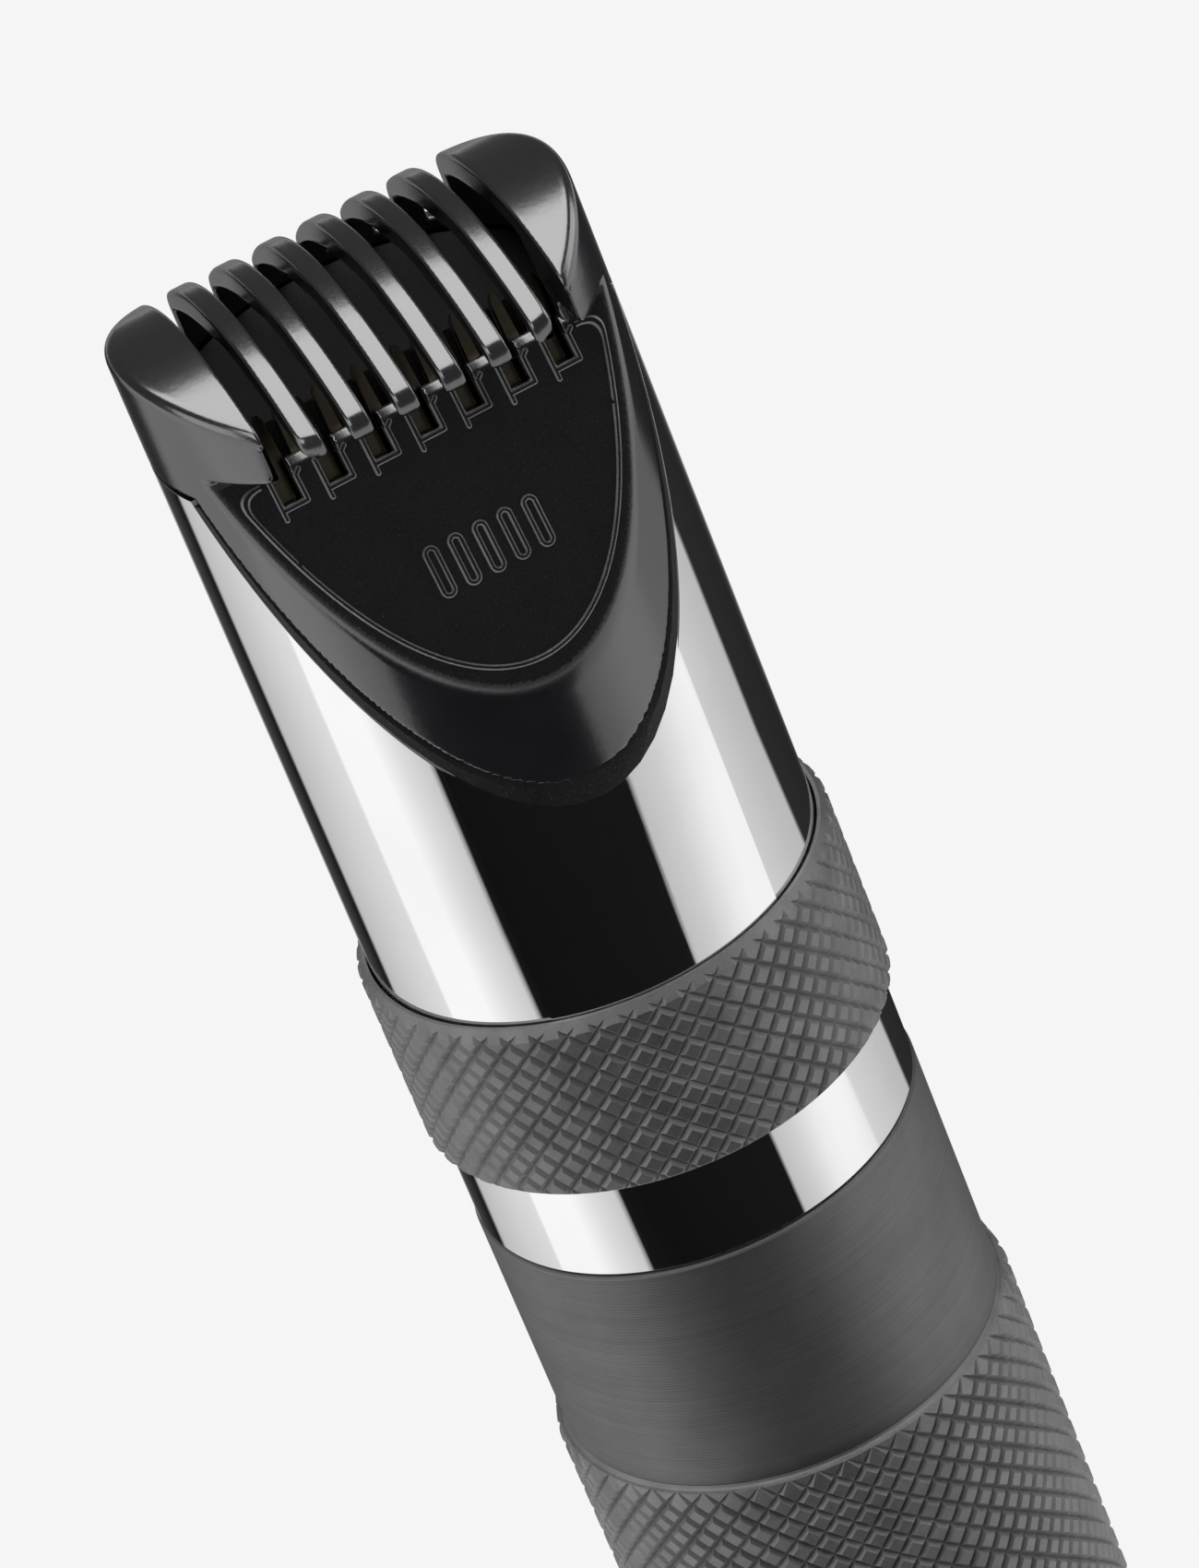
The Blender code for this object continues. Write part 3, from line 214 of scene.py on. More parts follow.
CHROME = chrome()
KNURLED = knurl_metal()
COLLAR_METAL = turned_metal("look_collar", (0.21, 0.21, 0.212), (0.155, 0.155, 0.157), 0.58, 0.24, 0.014)
CAP_METAL = turned_metal("look_end_cap", (0.20, 0.20, 0.202), (0.14, 0.14, 0.142), 0.52, 0.2, 0.008)
COMB = comb_gloss()
# The plate's bright specks are painted glints.
PLATE = moulded("look_comb_plate_painted_glints", (0.006, 0.006, 0.009), (0.003, 0.003, 0.005), 0.42, 5.5, 0.02, 0.09, 0.35)
# Light grey for the raised lines' sloping sides: a painted highlight standing in for the light that their
# edges catch.
LINE_SIDE_PAINTED_HIGHLIGHT = moulded("look_comb_line_painted_highlight", (0.32, 0.32, 0.33), (0.2, 0.2, 0.21), 0.3, 5.5, 0.004)
# The housing's bright specks are painted glints, for the glitter seen through the slots.
HOUSING = moulded("look_housing_painted_glints", (0.013, 0.010, 0.009), (0.007, 0.006, 0.005), 0.5, 4.0, 0.03, 0.2, 0.35)
# The warm tint is the blades' titanium coating; the very dark base is painted shade, for teeth that sit in
# shadow inside the comb.
BLADE_STEEL_PAINTED_SHADE = turned_metal("look_blade_steel_painted_shade", (0.2, 0.165, 0.12), (0.1, 0.085, 0.065), 0.12, 0.12, 0.003)
ZINC = turned_metal("look_plain_steel", (0.6, 0.6, 0.6), (0.45, 0.45, 0.46), 0.3, 0.5, 0.003)
BRASS = turned_metal("look_brass", (0.82, 0.60, 0.30), (0.66, 0.46, 0.2), 0.28, 0.3, 0.003)
NYLON = moulded("look_nylon", (0.80, 0.80, 0.75), (0.72, 0.72, 0.68), 0.5, 3.0, 0.006)
GREY = moulded("look_frame_plastic", (0.21, 0.21, 0.22), (0.17, 0.17, 0.18), 0.55, 3.0, 0.01)
RUBBER = moulded("look_rubber", (0.024, 0.024, 0.024), (0.014, 0.014, 0.014), 0.75, 2.5, 0.01)
BOARD = moulded("look_board", (0.02, 0.17, 0.06), (0.015, 0.12, 0.045), 0.4, 2.0, 0.01)
WRAP = moulded("look_cell_wrap", (0.045, 0.11, 0.32), (0.03, 0.08, 0.25), 0.3, 1.0, 0.01)
RED = moulded("look_lead_red", (0.5, 0.02, 0.02), (0.4, 0.015, 0.015), 0.45, 2.0, 0.006)
BLACK = moulded("look_lead_black", (0.022, 0.022, 0.022), (0.014, 0.014, 0.014), 0.45, 2.0, 0.006)


# ---------------------------------------------------------------- meshes

TURN_SEGMENTS = 256
CAD_EDGE_ANGLE = 30.0


def piece(name, mesh, materials, body, slot, *nodes):
    """A new piece that rides on a body and stands for the CAD nodes."""
    obj = bpy.data.objects.new(name, mesh)
    scene.collection.objects.link(obj)
    for surface in materials:
        mesh.materials.append(surface)
    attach(obj, body)
    if nodes:
        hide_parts(*nodes)
    return obj


def mesh_of(name, points, faces):
    mesh = bpy.data.meshes.new(name)
    mesh.from_pydata((np.asarray(points, float) * MM).tolist(), [], faces)
    mesh.update()
    return mesh


def helper(mesh):
    """An object that only cuts."""
    obj = bpy.data.objects.new("cut_" + mesh.name, mesh)
    scene.collection.objects.link(obj)
    return obj


def baked(obj):
    """The object's mesh with its modifiers applied."""
    graph = bpy.context.evaluated_depsgraph_get()
    return bpy.data.meshes.new_from_object(obj.evaluated_get(graph), depsgraph=graph)


def combined(mesh, cutters):
    """The mesh after each (mesh, operation) of cutters."""
    obj = helper(mesh)
    others = []
    for cutter, operation in cutters:
        other = helper(cutter)
        others.append(other)
        boolean = obj.modifiers.new("cut", "BOOLEAN")
        boolean.solver = "EXACT"
        boolean.operation = operation
        boolean.object = other
    bpy.context.view_layer.update()
    made = baked(obj)
    for other in [obj, *others]:
        bpy.data.objects.remove(other)
    return made


def finish_edges(obj, width, segments, angle):
    """Smooth shading with small rounds on the sharp edges."""
    obj.data.shade_smooth()
    obj.data.set_sharp_from_angle(angle=math.radians(angle))
    bevel = obj.modifiers.new("rounds", "BEVEL")
    bevel.width = width * MM
    bevel.segments = segments
    bevel.limit_method = "ANGLE"
    bevel.angle_limit = math.radians(angle)
    bevel.use_clamp_overlap = True
    bevel.harden_normals = True
    return obj


def lathe(name, profile):
    """Turns a closed (radius, height) profile about Z. Its corners stand clear of the knurls' own."""
    segments = TURN_SEGMENTS
    turn = np.linspace(0, 2 * math.pi, segments, endpoint=False) + math.pi / segments
    rows = [np.stack([r * np.cos(turn), r * np.sin(turn), np.full(segments, z)], 1) for r, z in profile]
    count = len(profile)
    faces = []
    for k in range(count):
        other = (k + 1) % count
        for s in range(segments):
            n = (s + 1) % segments
            faces.append((k * segments + s, other * segments + s, other * segments + n, k * segments + n))
    mesh = mesh_of(name, np.concatenate(rows), faces)
    shape = bmesh.new()
    shape.from_mesh(mesh)
    bmesh.ops.recalc_face_normals(shape, faces=shape.faces)
    shape.to_mesh(mesh)
    shape.free()
    return mesh


def block(name, low, high, placed=None):
    """A box for cutting, placed by a matrix in millimetres."""
    low, high = Vector(low), Vector(high)
    shape = bmesh.new()
    bmesh.ops.create_cube(shape, size=1.0)
    for vert in shape.verts:
        vert.co = (low + high) / 2 + vert.co * (high - low)
    if placed is not None:
        bmesh.ops.transform(shape, matrix=placed, verts=shape.verts)
    bmesh.ops.scale(shape, vec=(MM, MM, MM), verts=shape.verts)
    mesh = bpy.data.meshes.new(name)
    shape.to_mesh(mesh)
    shape.free()
    return mesh


def oblique(height):
    """The plane of the tube's oblique cut, where it meets the front of the tube at a height."""
    return Matrix.Translation((0, -TUBE, height)) @ Matrix.Rotation(CUT_ANGLE, 4, "X")


# ---------------------------------------------------------------- knurling

KNURLS_ROUND = 50
KNURL_ROW = 2.23 / 2
KNURL_DEPTH, RING_KNURL_DEPTH = 0.4, 0.3
FLAT_SHARE = 0.58
KNURL_MARGIN = 0.6
KNURL_ROUND, KNURL_EDGE_ANGLE = 0.045, 18.0


def knurled(name, outer, low, high, depth):
    """A solid cylinder with flat-topped diamonds, which runs a little past both heights."""
    low, high = low - KNURL_MARGIN, high + KNURL_MARGIN
    rows = int(math.ceil((high - low) / KNURL_ROW)) + 3
    half_turn = math.pi / KNURLS_ROUND
    points, faces = [], []
    valley = {}

    def corner(step, row):
        key = (step % (2 * KNURLS_ROUND), row)
        if key not in valley:
            valley[key] = len(points)
            turn = key[0] * half_turn
            radius = outer - depth
            points.append((radius * math.cos(turn), radius * math.sin(turn), low + (row - 1) * KNURL_ROW))
        return valley[key]

    for row in range(1, rows):
        for step in range(row % 2, 2 * KNURLS_ROUND, 2):
            around = [(step - 1, row), (step, row - 1), (step + 1, row), (step, row + 1)]
            rim = [corner(*place) for place in around]
            top = []
            for other, level in around:
                turn = (step + (other - step) * FLAT_SHARE) * half_turn
                height = low + (row - 1 + (level - row) * FLAT_SHARE) * KNURL_ROW
                top.append(len(points))
                points.append((outer * math.cos(turn), outer * math.sin(turn), height))
            faces.append(tuple(top))
            for k in range(4):
                n = (k + 1) % 4
                faces.append((rim[k], rim[n], top[n], top[k]))
    shape = bmesh.new()
    verts = [shape.verts.new(Vector(p) * MM) for p in points]
    for face in faces:
        shape.faces.new([verts[k] for k in face])
    for end in (min, max):
        level = end(v.co.z for v in shape.verts)
        rim = [e for e in shape.edges if e.is_boundary and abs(e.verts[0].co.z - level) < 3 * KNURL_ROW * MM]
        middle = shape.verts.new((0, 0, level))
        for edge in rim:
            shape.faces.new((edge.verts[0], edge.verts[1], middle))
    bmesh.ops.recalc_face_normals(shape, faces=shape.faces)
    mesh = bpy.data.meshes.new(name)
    shape.to_mesh(mesh)
    shape.free()
    return mesh


def make_ring():
    profile = [
        (RING_BORE, Z_RING_TOP),
        (RING_BORE + 0.28, Z_RING_TOP),
        (RING_OUTER + 0.02, Z_RING_TOP - 0.95),
        (RING_OUTER + 0.02, Z_RING_LOW + 0.3),
        (RING_OUTER - 0.3, Z_RING_LOW),
        (RING_BORE, Z_RING_LOW),
    ]
    solid = knurled("ring_knurl", RING_OUTER, Z_RING_LOW, Z_RING_TOP, RING_KNURL_DEPTH)
    mesh = combined(lathe("twist_ring_knurled", profile), [(solid, "INTERSECT")])
    mesh.name = "twist_ring_knurled"
    ring = piece("twist_ring_knurled", mesh, [KNURLED], "ring", "dark_aluminium", "twist_ring")
    finish_edges(ring, KNURL_ROUND, 2, KNURL_EDGE_ANGLE)


def make_grip():
    low = Z_GRIP_LOW
    profile = [
        (GRIP_BORE, Z_COLLAR_LOW),
        (COLLAR + 0.02, Z_COLLAR_LOW - 0.12),
        (COLLAR + 0.1, Z_COLLAR_LOW - 0.3),
        (COLLAR + 0.26, Z_COLLAR_LOW - 0.45),
        (COLLAR + 0.5, Z_COLLAR_LOW - 0.52),
        (KNURL + 0.02, Z_COLLAR_LOW - 1.75),
        (KNURL + 0.02, low + 0.6),
        (KNURL - 0.6, low),
        (GRIP_BORE, low),
    ]
    solid = knurled("grip_knurl", KNURL, low, Z_COLLAR_LOW, KNURL_DEPTH)
    mesh = combined(lathe("grip_knurled", profile), [(solid, "INTERSECT")])
    mesh.name = "grip_knurled"
    grip = piece("grip_knurled", mesh, [KNURLED], "handle", "dark_aluminium", "grip_tube")
    finish_edges(grip, KNURL_ROUND, 2, KNURL_EDGE_ANGLE)
    profile = [
        (GRIP_BORE, Z_COLLAR_TOP),
        (COLLAR - 0.32, Z_COLLAR_TOP),
        (COLLAR - 0.14, Z_COLLAR_TOP - 0.05),
        (COLLAR - 0.04, Z_COLLAR_TOP - 0.16),
        (COLLAR, Z_COLLAR_TOP - 0.36),
        (COLLAR, Z_COLLAR_LOW + 0.25),
        (COLLAR + 0.02, Z_COLLAR_LOW - 0.12),
        (GRIP_BORE, Z_COLLAR_LOW - 0.12),
    ]
    mesh = lathe("grip_collar", profile)
    collar = piece("grip_collar", mesh, [COLLAR_METAL], "handle", "dark_aluminium", "grip_tube")
    finish_edges(collar, 0.03, 2, 50.0)


def make_tube():
    profile = [(TUBE_BORE, Z_RIM), (TUBE, Z_RIM), (TUBE, Z_TUBE_LOW), (TUBE_BORE, Z_TUBE_LOW)]
    front = block("tube_front", (-60, -60, 0), (60, 120, 60), oblique(Z_CUT))
    slot = block("tube_slot", (-PIN_SLOT_HALF, 0, PIN_SLOT_LOW), (PIN_SLOT_HALF, 60, PIN_SLOT_TOP))
    mesh = combined(lathe("chrome_tube_polished", profile), [(front, "DIFFERENCE"), (slot, "DIFFERENCE")])
    mesh.name = "chrome_tube_polished"
    tube = piece("chrome_tube_polished", mesh, [CHROME], "handle", "polished_chrome", "chrome_tube")
    finish_edges(tube, 0.12, 3, 40.0)


def from_cad(node, name, surface, slot, body, bevel):
    """A piece with the CAD node's own shape, its seams joined, its faces made whole and its edges rounded."""
    mesh = NODES[node].data.copy()
    shape = bmesh.new()
    shape.from_mesh(mesh)
    bmesh.ops.remove_doubles(shape, verts=shape.verts, dist=0.000002)
    bmesh.ops.dissolve_limit(shape, angle_limit=math.radians(0.6), verts=shape.verts, edges=shape.edges)
    shape.to_mesh(mesh)
    shape.free()
    mesh.name = name
    mesh.materials.clear()
    if mesh.has_custom_normals:
        mesh.attributes.remove(mesh.attributes["custom_normal"])
    return finish_edges(piece(name, mesh, [surface], body, slot, node), bevel, 2, CAD_EDGE_ANGLE)


def make_pin():
    """The ring's pin, with its outer end just below the ring's surface."""
    pin = from_cad("ring_drive_pin", "ring_drive_pin_ground", ZINC, "plain_steel", "ring", 0.15)
    for vert in pin.data.vertices:
        reach = math.hypot(vert.co.x, vert.co.y)
        if reach > PIN_END * MM:
            vert.co.xy *= PIN_END * MM / reach


# ---------------------------------------------------------------- guide comb


def either(a, b, soft=0.0):
    """The union of two distance fields, with a soft inner corner."""
    if not soft:
        return np.minimum(a, b)
    near = np.maximum(soft - np.abs(a - b), 0)
    return np.minimum(a, b) - near * near / (4 * soft)


def both(a, b, soft=0.0):
    """The intersection of two distance fields, with a soft outer edge."""
    return -either(-a, -b, soft)


def plate_height(y, z):
    """Distance out of the plate's face."""
    return -(y + TUBE) * math.sin(PLATE_ANGLE) + (z - Z_PLATE) * math.cos(PLATE_ANGLE)


def plate_run(y, z):
    """Distance up the plate's face."""
    return (y + TUBE) * math.cos(PLATE_ANGLE) + (z - Z_PLATE) * math.sin(PLATE_ANGLE)


def arch(y, z, crest, drop):
    """Distance above a circle whose top is at the crest, and which falls by drop to the tube's rear."""
    radius = (TUBE**2 + drop**2) / (2 * drop)
    return np.sqrt(y**2 + (z - crest + radius) ** 2) - radius


def comb_field(x, y, z):
    """Distance from the comb's surface, below 0 inside it. Where parts join, the last value rounds them."""
    r = np.sqrt(x * x + y * y)
    out = plate_height(y, z)
    low = (Z_CUT + LIP_DEPTH + (y + TUBE) * math.tan(CUT_ANGLE) - z) * math.cos(CUT_ANGLE)
    low = either(low, Z_RIM + COMB_OVER_RIM - z)
    inner_arch = arch(y, z, Z_CREST - TINE_DEPTH, INNER_ARCH_DROP)
    front = either(out, Z_BROW - z, 0.5)
    body = both(both(r - TUBE, front, 0.55), arch(y, z, Z_CREST, ARCH_DROP), 0.9)
    body = both(body, low, 0.35)
    hollow = both(both(r - COMB_BORE, out + PLATE_THICKNESS, 0.3), inner_arch, 0.3)
    body = both(body, -hollow, 0.15)
    room_back = either(y + TINE_REACH, inner_arch)
    room = both(both(np.abs(x) - TINES_HALF_WIDTH, Z_PLATE_TOP - z, 0.1), both(room_back, y, 0.1), 0.1)
    body = both(body, -room, 0.9)
    place = x - np.clip(np.round(x / SLOT_PITCH), -3, 3) * SLOT_PITCH
    slots = both(np.abs(place) - SLOT_HALF, SLOT_LOW - z, 0.3)
    body = both(body, -slots, 0.42)
    windows = both(np.abs(place) - WINDOW_HALF, WINDOW_LOW - plate_run(y, z))
    windows = both(windows, np.abs(out) - 2 * PLATE_THICKNESS)
    return both(body, -windows, 0.12)


def surface_net(field, low, high, step):
    """A quad mesh of the field's zero surface on a grid."""
    axes = [np.arange(a, b + step, step) for a, b in zip(low, high)]
    shape = tuple(len(axis) for axis in axes)
    value = np.empty(shape, np.float32)
    for k, x in enumerate(axes[0]):
        y, z = np.meshgrid(axes[1], axes[2], indexing="ij")
        value[k] = field(np.full_like(y, x), y, z)
    inside = value < 0
    cell_shape = tuple(n - 1 for n in shape)
    total = np.zeros(cell_shape, np.int8)
    corners = [(i, j, k) for i in (0, 1) for j in (0, 1) for k in (0, 1)]
    for i, j, k in corners:
        total += inside[i : i + cell_shape[0], j : j + cell_shape[1], k : k + cell_shape[2]]
    cells = np.argwhere((total > 0) & (total < 8))
    index = np.full(cell_shape, -1, np.int64)
    index[tuple(cells.T)] = np.arange(len(cells))
    sums, counts = np.zeros((len(cells), 3)), np.zeros(len(cells))
    for a in corners:
        for axis in range(3):
            if a[axis]:
                continue
            b = list(a)
            b[axis] = 1
            start = value[tuple((cells + a).T)]
            end = value[tuple((cells + b).T)]
            crossed = (start < 0) != (end < 0)
            share = np.where(crossed, start / np.where(crossed, start - end, 1), 0)
            place = np.array(a, float)[None] + share[:, None] * (np.array(b) - np.array(a))[None]
            sums += np.where(crossed[:, None], place, 0)
            counts += crossed
    points = (cells + sums / counts[:, None]) * step + np.array([axis[0] for axis in axes])
    faces = []
    for axis in range(3):
        one, two = (axis + 1) % 3, (axis + 2) % 3
        near = [slice(None)] * 3
        far = [slice(None)] * 3
        near[axis], far[axis] = slice(0, -1), slice(1, None)
        start, end = inside[tuple(near)], inside[tuple(far)]
        for flip in (False, True):
            edges = np.argwhere((start & ~end) if not flip else (~start & end))
            keep = (edges[:, one] > 0) & (edges[:, two] > 0)
            keep &= (edges[:, one] < cell_shape[one]) & (edges[:, two] < cell_shape[two])
            edges = edges[keep]
            ring = []
            for d1, d2 in ((0, 0), (-1, 0), (-1, -1), (0, -1)):
                cell = edges.copy()
                cell[:, one] += d1
                cell[:, two] += d2
                ring.append(index[tuple(cell.T)])
            quad = np.stack(ring, 1)
            faces.append(quad[:, ::-1] if flip else quad)
    return points, np.concatenate(faces)


def slope_of(field, points, reach=0.02):
    """The field's value and its slope at the points."""
    value = field(*points.T)
    slope = np.empty_like(points)
    for axis in range(3):
        step = np.zeros(3)
        step[axis] = reach
        slope[:, axis] = (field(*(points + step).T) - field(*(points - step).T)) / (2 * reach)
    return value, slope


def make_comb():
    step = 0.2
    points, faces = surface_net(comb_field, (-17.7, -17.7, 130.3), (17.7, 17.7, 166.4), step)
    for _ in range(2):
        value, slope = slope_of(comb_field, points)
        size = np.maximum((slope**2).sum(1), 0.25)
        move = np.clip(value / size, -0.3 * step, 0.3 * step)
        points = points - slope * move[:, None]
    normals = slope_of(comb_field, points, 0.03)[1]
    normals /= np.maximum(np.linalg.norm(normals, axis=1, keepdims=True), 1e-9)
    mesh = bpy.data.meshes.new("guide_comb_moulded")
    mesh.vertices.add(len(points))
    mesh.vertices.foreach_set("co", (points * MM).astype(np.float32).ravel())
    mesh.loops.add(faces.size)
    mesh.loops.foreach_set("vertex_index", faces.astype(np.int32).ravel())
    mesh.polygons.add(len(faces))
    mesh.polygons.foreach_set("loop_start", np.arange(0, faces.size, 4, dtype=np.int32))
    mesh.update(calc_edges=True)
    middle = points[faces].mean(1)
    face_normal = normals[faces].mean(1)
    out = plate_height(middle[:, 1], middle[:, 2])
    radius = np.hypot(middle[:, 0], middle[:, 1])
    flat = face_normal @ np.array([0, -math.sin(PLATE_ANGLE), math.cos(PLATE_ANGLE)]) > 0.95
    on_plate = flat & (out > -0.25) & (radius < TUBE - 0.3) & (middle[:, 2] < Z_PLATE_TOP + 0.3)
    mesh.polygons.foreach_set("material_index", on_plate.astype(np.int32))
    mesh.shade_smooth()
    mesh.normals_split_custom_set_from_vertices(normals)
    piece("guide_comb_moulded", mesh, [COMB, PLATE], "comb", "comb_plastic", "guide_comb")


# Raised lines on the plate: five bars for the comb's length, the windows' frames and a line along the edge

LINE_HALF = 0.17
LINE_HEIGHT = 0.2
BAR_HALF = 0.4
BORDER = 16.2
FRAME_LOW, FRAME_TOP = 18.72, 20.9


def to_segment(px, py, a, b):
    a, b = np.array(a), np.array(b)
    run = b - a
    t = np.clip(((px - a[0]) * run[0] + (py - a[1]) * run[1]) / (run @ run), 0, 1)
    return np.hypot(px - a[0] - t * run[0], py - a[1] - t * run[1])


def mark_strokes():
    """Five short bars in a row, one for each millimetre that the comb leaves standing."""
    low, high, pitch = 8.9, 11.6, 1.9
    return [[(k * pitch, low), (k * pitch, high)] for k in range(-2, 3)]


def stroke_distance(px, py, strokes):
    best = np.full(px.shape, 1e9)
    for stroke in strokes:
        for a, b in zip(stroke, stroke[1:]):
            if a != b:
                best = np.minimum(best, to_segment(px, py, a, b))
    return best


def relief(name, distance, low, high, step):
    """A thin raised line on the plate wherever |distance| is under the line's half width. Its top keeps the
    plate's finish and its sloping sides take a light grey, a painted highlight along both edges.
    """
    xs, us = np.arange(low[0], high[0], step), np.arange(low[1], high[1], step)
    px, pu = np.meshgrid(xs, us, indexing="ij")
    away = np.abs(distance(px, pu)) / LINE_HALF
    height = LINE_HEIGHT * np.clip((1.25 - away) / 0.75, 0, 1) - 0.02
    keep = away < 1.35
    used = keep[:-1, :-1] & keep[1:, :-1] & keep[1:, 1:] & keep[:-1, 1:]
    number = np.arange(px.size).reshape(px.shape)
    quads = np.stack([number[:-1, :-1], number[1:, :-1], number[1:, 1:], number[:-1, 1:]], -1)[used]
    kept, faces = np.unique(quads, return_inverse=True)
    faces = faces.reshape(quads.shape)
    flat = np.stack([px.ravel(), pu.ravel(), height.ravel()], 1)[kept]
    across = np.array([0, math.cos(PLATE_ANGLE), math.sin(PLATE_ANGLE)])
    outward = np.array([0, -math.sin(PLATE_ANGLE), math.cos(PLATE_ANGLE)])
    points = np.array([0, -TUBE, Z_PLATE]) + flat[:, :1] * np.array([1.0, 0, 0])
    points = points + flat[:, 1:2] * across + flat[:, 2:] * outward
    mesh = mesh_of(name, points, faces.tolist())
    # Sloping faces get the light grey second material: a painted highlight on the line's edges.
    side = away.ravel()[kept][faces].mean(1) > 0.55
    mesh.polygons.foreach_set("material_index", side.astype(np.int32))
    mesh.shade_smooth()
    return piece(name, mesh, [PLATE, LINE_SIDE_PAINTED_HIGHLIGHT], "comb", "comb_plastic")


def make_raised_lines():
    step = 0.045

    def bars(px, pu):
        return stroke_distance(px, pu, mark_strokes()) - BAR_HALF

    relief("comb_size_mark", bars, (-6.2, 7.6), (6.2, 13.0), step)

    def frames(px, pu):
        away = np.full(px.shape, 1e9)
        for k in range(-3, 4):
            x = k * SLOT_PITCH
            left = [(x - 1.0, FRAME_TOP), (x - 1.0, 18.1)]
            rest = [(x - 0.95, FRAME_LOW), (x + 0.9, FRAME_LOW), (x + 0.9, 20.6), (x + 1.25, FRAME_TOP)]
            away = np.minimum(away, stroke_distance(px, pu, [left, rest]))
        return away

    relief("comb_window_frames", frames, (-12.0, 17.8), (12.2, 21.2), step)

    def border(px, pu):
        y = pu * math.cos(PLATE_ANGLE) - TUBE
        r = np.hypot(px, y)
        slope = np.hypot(px, y * math.cos(PLATE_ANGLE)) / r
        edge = both((r - BORDER) / slope, pu - FRAME_TOP, 1.6)
        return np.where((np.abs(px) < 12.1) & (pu > 15), 1e9, edge)

    relief("comb_plate_border", border, (-16.6, 0.6), (16.6, 21.6), step)


make_ring()
make_grip()
make_tube()
make_comb()
make_raised_lines()

from_cad("head_housing", "head_housing_grained", HOUSING, "housing_plastic", "handle", 0.12)
from_cad("fixed_blade", "fixed_blade_ground", BLADE_STEEL_PAINTED_SHADE, "blade_steel", "handle", 0.06)
from_cad("moving_blade", "moving_blade_ground", BLADE_STEEL_PAINTED_SHADE, "blade_steel", "cutter", 0.06)
from_cad("end_cap", "end_cap_turned", CAP_METAL, "dark_aluminium", "handle", 0.12)
for side in ("left", "right"):
    from_cad(f"blade_screw_{side}", f"blade_screw_{side}_head", ZINC, "plain_steel", "handle", 0.15)
    from_cad(f"motor_screw_{side}", f"motor_screw_{side}_head", ZINC, "plain_steel", "handle", 0.2)

make_pin()

KEPT = {
    "blade_spring": ZINC,
    "drive_fork": NYLON,
    "eccentric_cam": BRASS,
    "motor_shaft": ZINC,
    "motor_can": ZINC,
    "motor_end_bell": HOUSING,
    "motor_mount": GREY,
    "motor_lead_red": RED,
    "motor_lead_black": BLACK,
    "detent_spring": ZINC,
    "switch_slider": NYLON,
    "slide_switch": ZINC,
    "circuit_board": BOARD,
    "charge_chip": HOUSING,
    "coupling_sleeve": BRASS,
    "coupling_seal": RUBBER,
    "battery_cradle": GREY,
    "battery_cell": WRAP,
    "battery_tab_plus": BRASS,
    "battery_tab_minus": BRASS,
    "battery_lead_black": BLACK,
    "socket_board": BOARD,
    "charge_socket": ZINC,
    "end_cap_seal": RUBBER,
}
for node, surface in KEPT.items():
    NODES[node].data.materials.clear()
    NODES[node].data.materials.append(surface)


# ---------------------------------------------------------------- studio


def glow(name, strength):
    made = bpy.data.materials.new(name)
    made.use_nodes = True
    tree = made.node_tree
    tree.nodes.clear()
    emission = tree.nodes.new("ShaderNodeEmission")
    emission.inputs["Color"].default_value = (1, 1, 1, 1)
    emission.inputs["Strength"].default_value = strength
    output = tree.nodes.new("ShaderNodeOutputMaterial")
    tree.links.new(emission.outputs[0], output.inputs["Surface"])
    return made


def unseen(obj, diffuse=True):
    """A studio piece that shows only in reflections and, if diffuse, as light."""
    obj.visible_camera = False
    obj.visible_shadow = False
    obj.visible_transmission = False
    obj.visible_diffuse = diffuse


def rectangle(name, half_width, half_height):
    corners = [(-1, -1), (1, -1), (1, 1), (-1, 1)]
    return mesh_of(name, [(half_width * x, half_height * y, 0) for x, y in corners], [(0, 1, 2, 3)])


def card(name, centre, target, width, height, strength, diffuse=True):
    """A light panel that faces the target, and that only shows in reflections unless diffuse."""
    mesh = rectangle(name, width / 2, height / 2)
    obj = bpy.data.objects.new(name, mesh)
    scene.collection.objects.link(obj)
    mesh.materials.append(glow(name, strength))
    centre, target = Vector(centre) * MM, Vector(target) * MM
    obj.location = centre
    obj.rotation_mode = "QUATERNION"
    obj.rotation_quaternion = (target - centre).to_track_quat("Z", "Y")
    unseen(obj, diffuse)


FLOOR_HALF, FLOOR_LEVEL, WORLD_LEVEL = 4000.0, 0.914, 0.12


def floor():
    mesh = rectangle("floor", FLOOR_HALF, FLOOR_HALF)
    obj = bpy.data.objects.new("floor", mesh)
    scene.collection.objects.link(obj)
    mesh.materials.append(glow("floor_white", FLOOR_LEVEL))


# The light drum round the handle: (angle from the front towards +X in degrees, brightness)
DRUM = [
    (-162.1, 0.321),
    (-159.2, 0.064),
    (-138.4, 0.010),
    (-136.8, 0.011),
    (-134.2, 0.505),
    (-130.4, 0.536),
    (-98.5, 0.730),
    (-96.8, 0.746),
    (-95.7, 0.970),
    (-75.9, 0.970),
    (-65.3, 0.753),
    (-53.8, 0.594),
    (-52.9, 0.008),
    (-39.4, 0.005),
    (14.3, 0.008),
    (15.3, 0.536),
    (23.5, 0.643),
    (34.1, 0.866),
    (41.1, 0.935),
    (50.0, 0.935),
    (59.4, 0.833),
    (60.6, 0.671),
    (85.8, 0.536),
    (97.9, 0.505),
    (98.8, 0.024),
    (130.3, 0.019),
    (135.0, 0.029),
    (140.9, 0.051),
    (142.5, 0.152),
    (151.3, 0.321),
]
DRUM_RADIUS, DRUM_TOP, DRUM_MIDDLE = 60.0, 135.0, 86.0
DRUM_RISE, RISE_START, RISE_END = 25.0, 100.0, 125.0  # the drum is taller behind the trimmer
DRUM_SIDES, DRUM_LOW = 180, 0.5
DRUM_LEAN = 0.16  # degrees of turn for each millimetre of height, at the front
DRUM_LEAN_GROWTH = 0.0013  # radians more for each millimetre, for each radian round from the front
LEAN_LIMIT = 6.0  # the stripes stand upright from here up, measured from the drum's middle


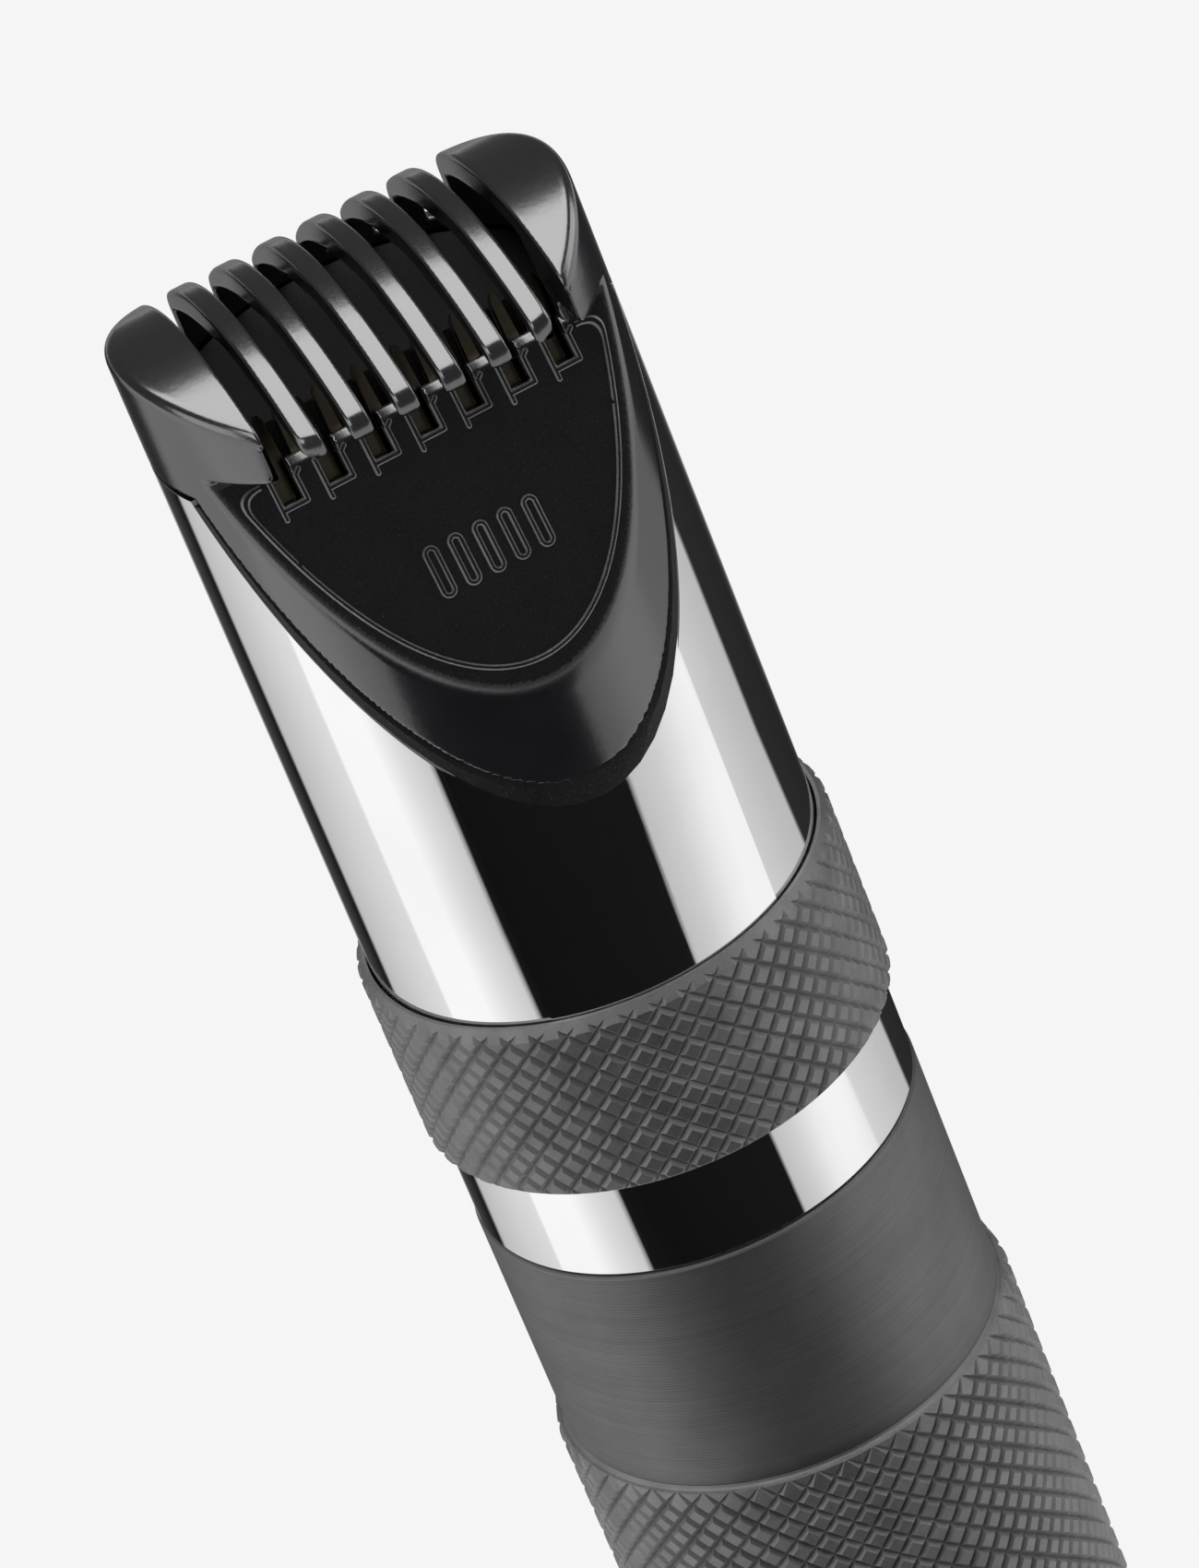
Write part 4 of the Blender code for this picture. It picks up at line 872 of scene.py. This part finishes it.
def drum():
    """A ring of light and dark stripes that the tube reflects."""
    turns = np.linspace(0, 2 * math.pi, DRUM_SIDES + 1)[:-1]
    from_front = np.degrees(np.abs((turns - 1.5 * math.pi + math.pi) % (2 * math.pi) - math.pi))
    tops = DRUM_TOP + DRUM_RISE * np.clip((from_front - RISE_START) / (RISE_END - RISE_START), 0, 1)
    count = len(turns)
    heights = [DRUM_LOW] * count + list(tops)
    around = [(DRUM_RADIUS * math.cos(t), DRUM_RADIUS * math.sin(t)) for t in turns]
    points = [(x, y, z) for (x, y), z in zip(around + around, heights)]
    faces = [(k, (k + 1) % count, count + (k + 1) % count, count + k) for k in range(count)]
    obj = bpy.data.objects.new("light_drum", mesh_of("light_drum", points, faces))
    scene.collection.objects.link(obj)
    m = Nodes("drum_stripes")
    split = m.add("ShaderNodeSeparateXYZ", {0: m.place})
    x, y, z = split.outputs
    turn = m.maths("ARCTAN2", x, m.maths("MULTIPLY", y, -1.0))
    above = m.maths("MINIMUM", m.maths("SUBTRACT", z, DRUM_MIDDLE * MM), LEAN_LIMIT * MM)
    rate = m.maths("ADD", m.maths("MULTIPLY", turn, DRUM_LEAN_GROWTH / MM), math.radians(DRUM_LEAN) / MM)
    lean = m.maths("MULTIPLY", above, rate)
    share = m.maths("ADD", m.maths("DIVIDE", m.maths("ADD", turn, lean), 2 * math.pi), 0.5)
    stops = [((angle + 180) / 360, level) for angle, level in DRUM]
    colour = m.ramp(share, *stops)
    m.tree.nodes.remove(m.shader)
    emission = m.tree.nodes.new("ShaderNodeEmission")
    m.tree.links.new(colour, emission.inputs["Color"])
    m.tree.links.new(emission.outputs[0], m.tree.nodes["Material Output"].inputs["Surface"])
    obj.data.materials.append(m.made)
    unseen(obj, diffuse=False)


def studio():
    floor()
    drum()
    card("softbox_top", (60, 50, 520), (60, 50, 150), 380, 400, 3.5, diffuse=False)
    card("softbox_front", (-260, -300, 480), (0, 0, 100), 240, 240, 2.6, diffuse=False)
    card("softbox_left", (-420, -60, 300), (0, 0, 130), 260, 300, 1.6)
    card("softbox_right", (420, 20, 300), (0, 0, 130), 260, 300, 2.2)
    world = bpy.data.worlds.new("studio")
    scene.world = world
    world.use_nodes = True
    background = world.node_tree.nodes["Background"]
    background.inputs["Color"].default_value = (1, 1, 1, 1)
    background.inputs["Strength"].default_value = WORLD_LEVEL


def camera():
    """A long lens that looks down on the head from the front and its left, fitted to the photograph."""
    data = bpy.data.cameras.new("camera")
    obj = bpy.data.objects.new("camera", data)
    scene.collection.objects.link(obj)
    data.sensor_width = 36.0
    data.lens = 173.73
    data.clip_start, data.clip_end = 0.01, 20
    right = Vector((0.8724369, -0.36756764, -0.32209919))
    up = Vector((0.46269832, 0.40899638, 0.78653177))
    back = Vector((-0.15736622, -0.83523409, 0.52689646))
    placed = Matrix((right, up, back)).transposed().to_4x4()
    placed.translation = Vector((-81.57811, -450.00982, 402.20711)) * MM
    obj.matrix_world = placed
    scene.camera = obj


studio()
camera()
scene.view_settings.view_transform = "Standard"
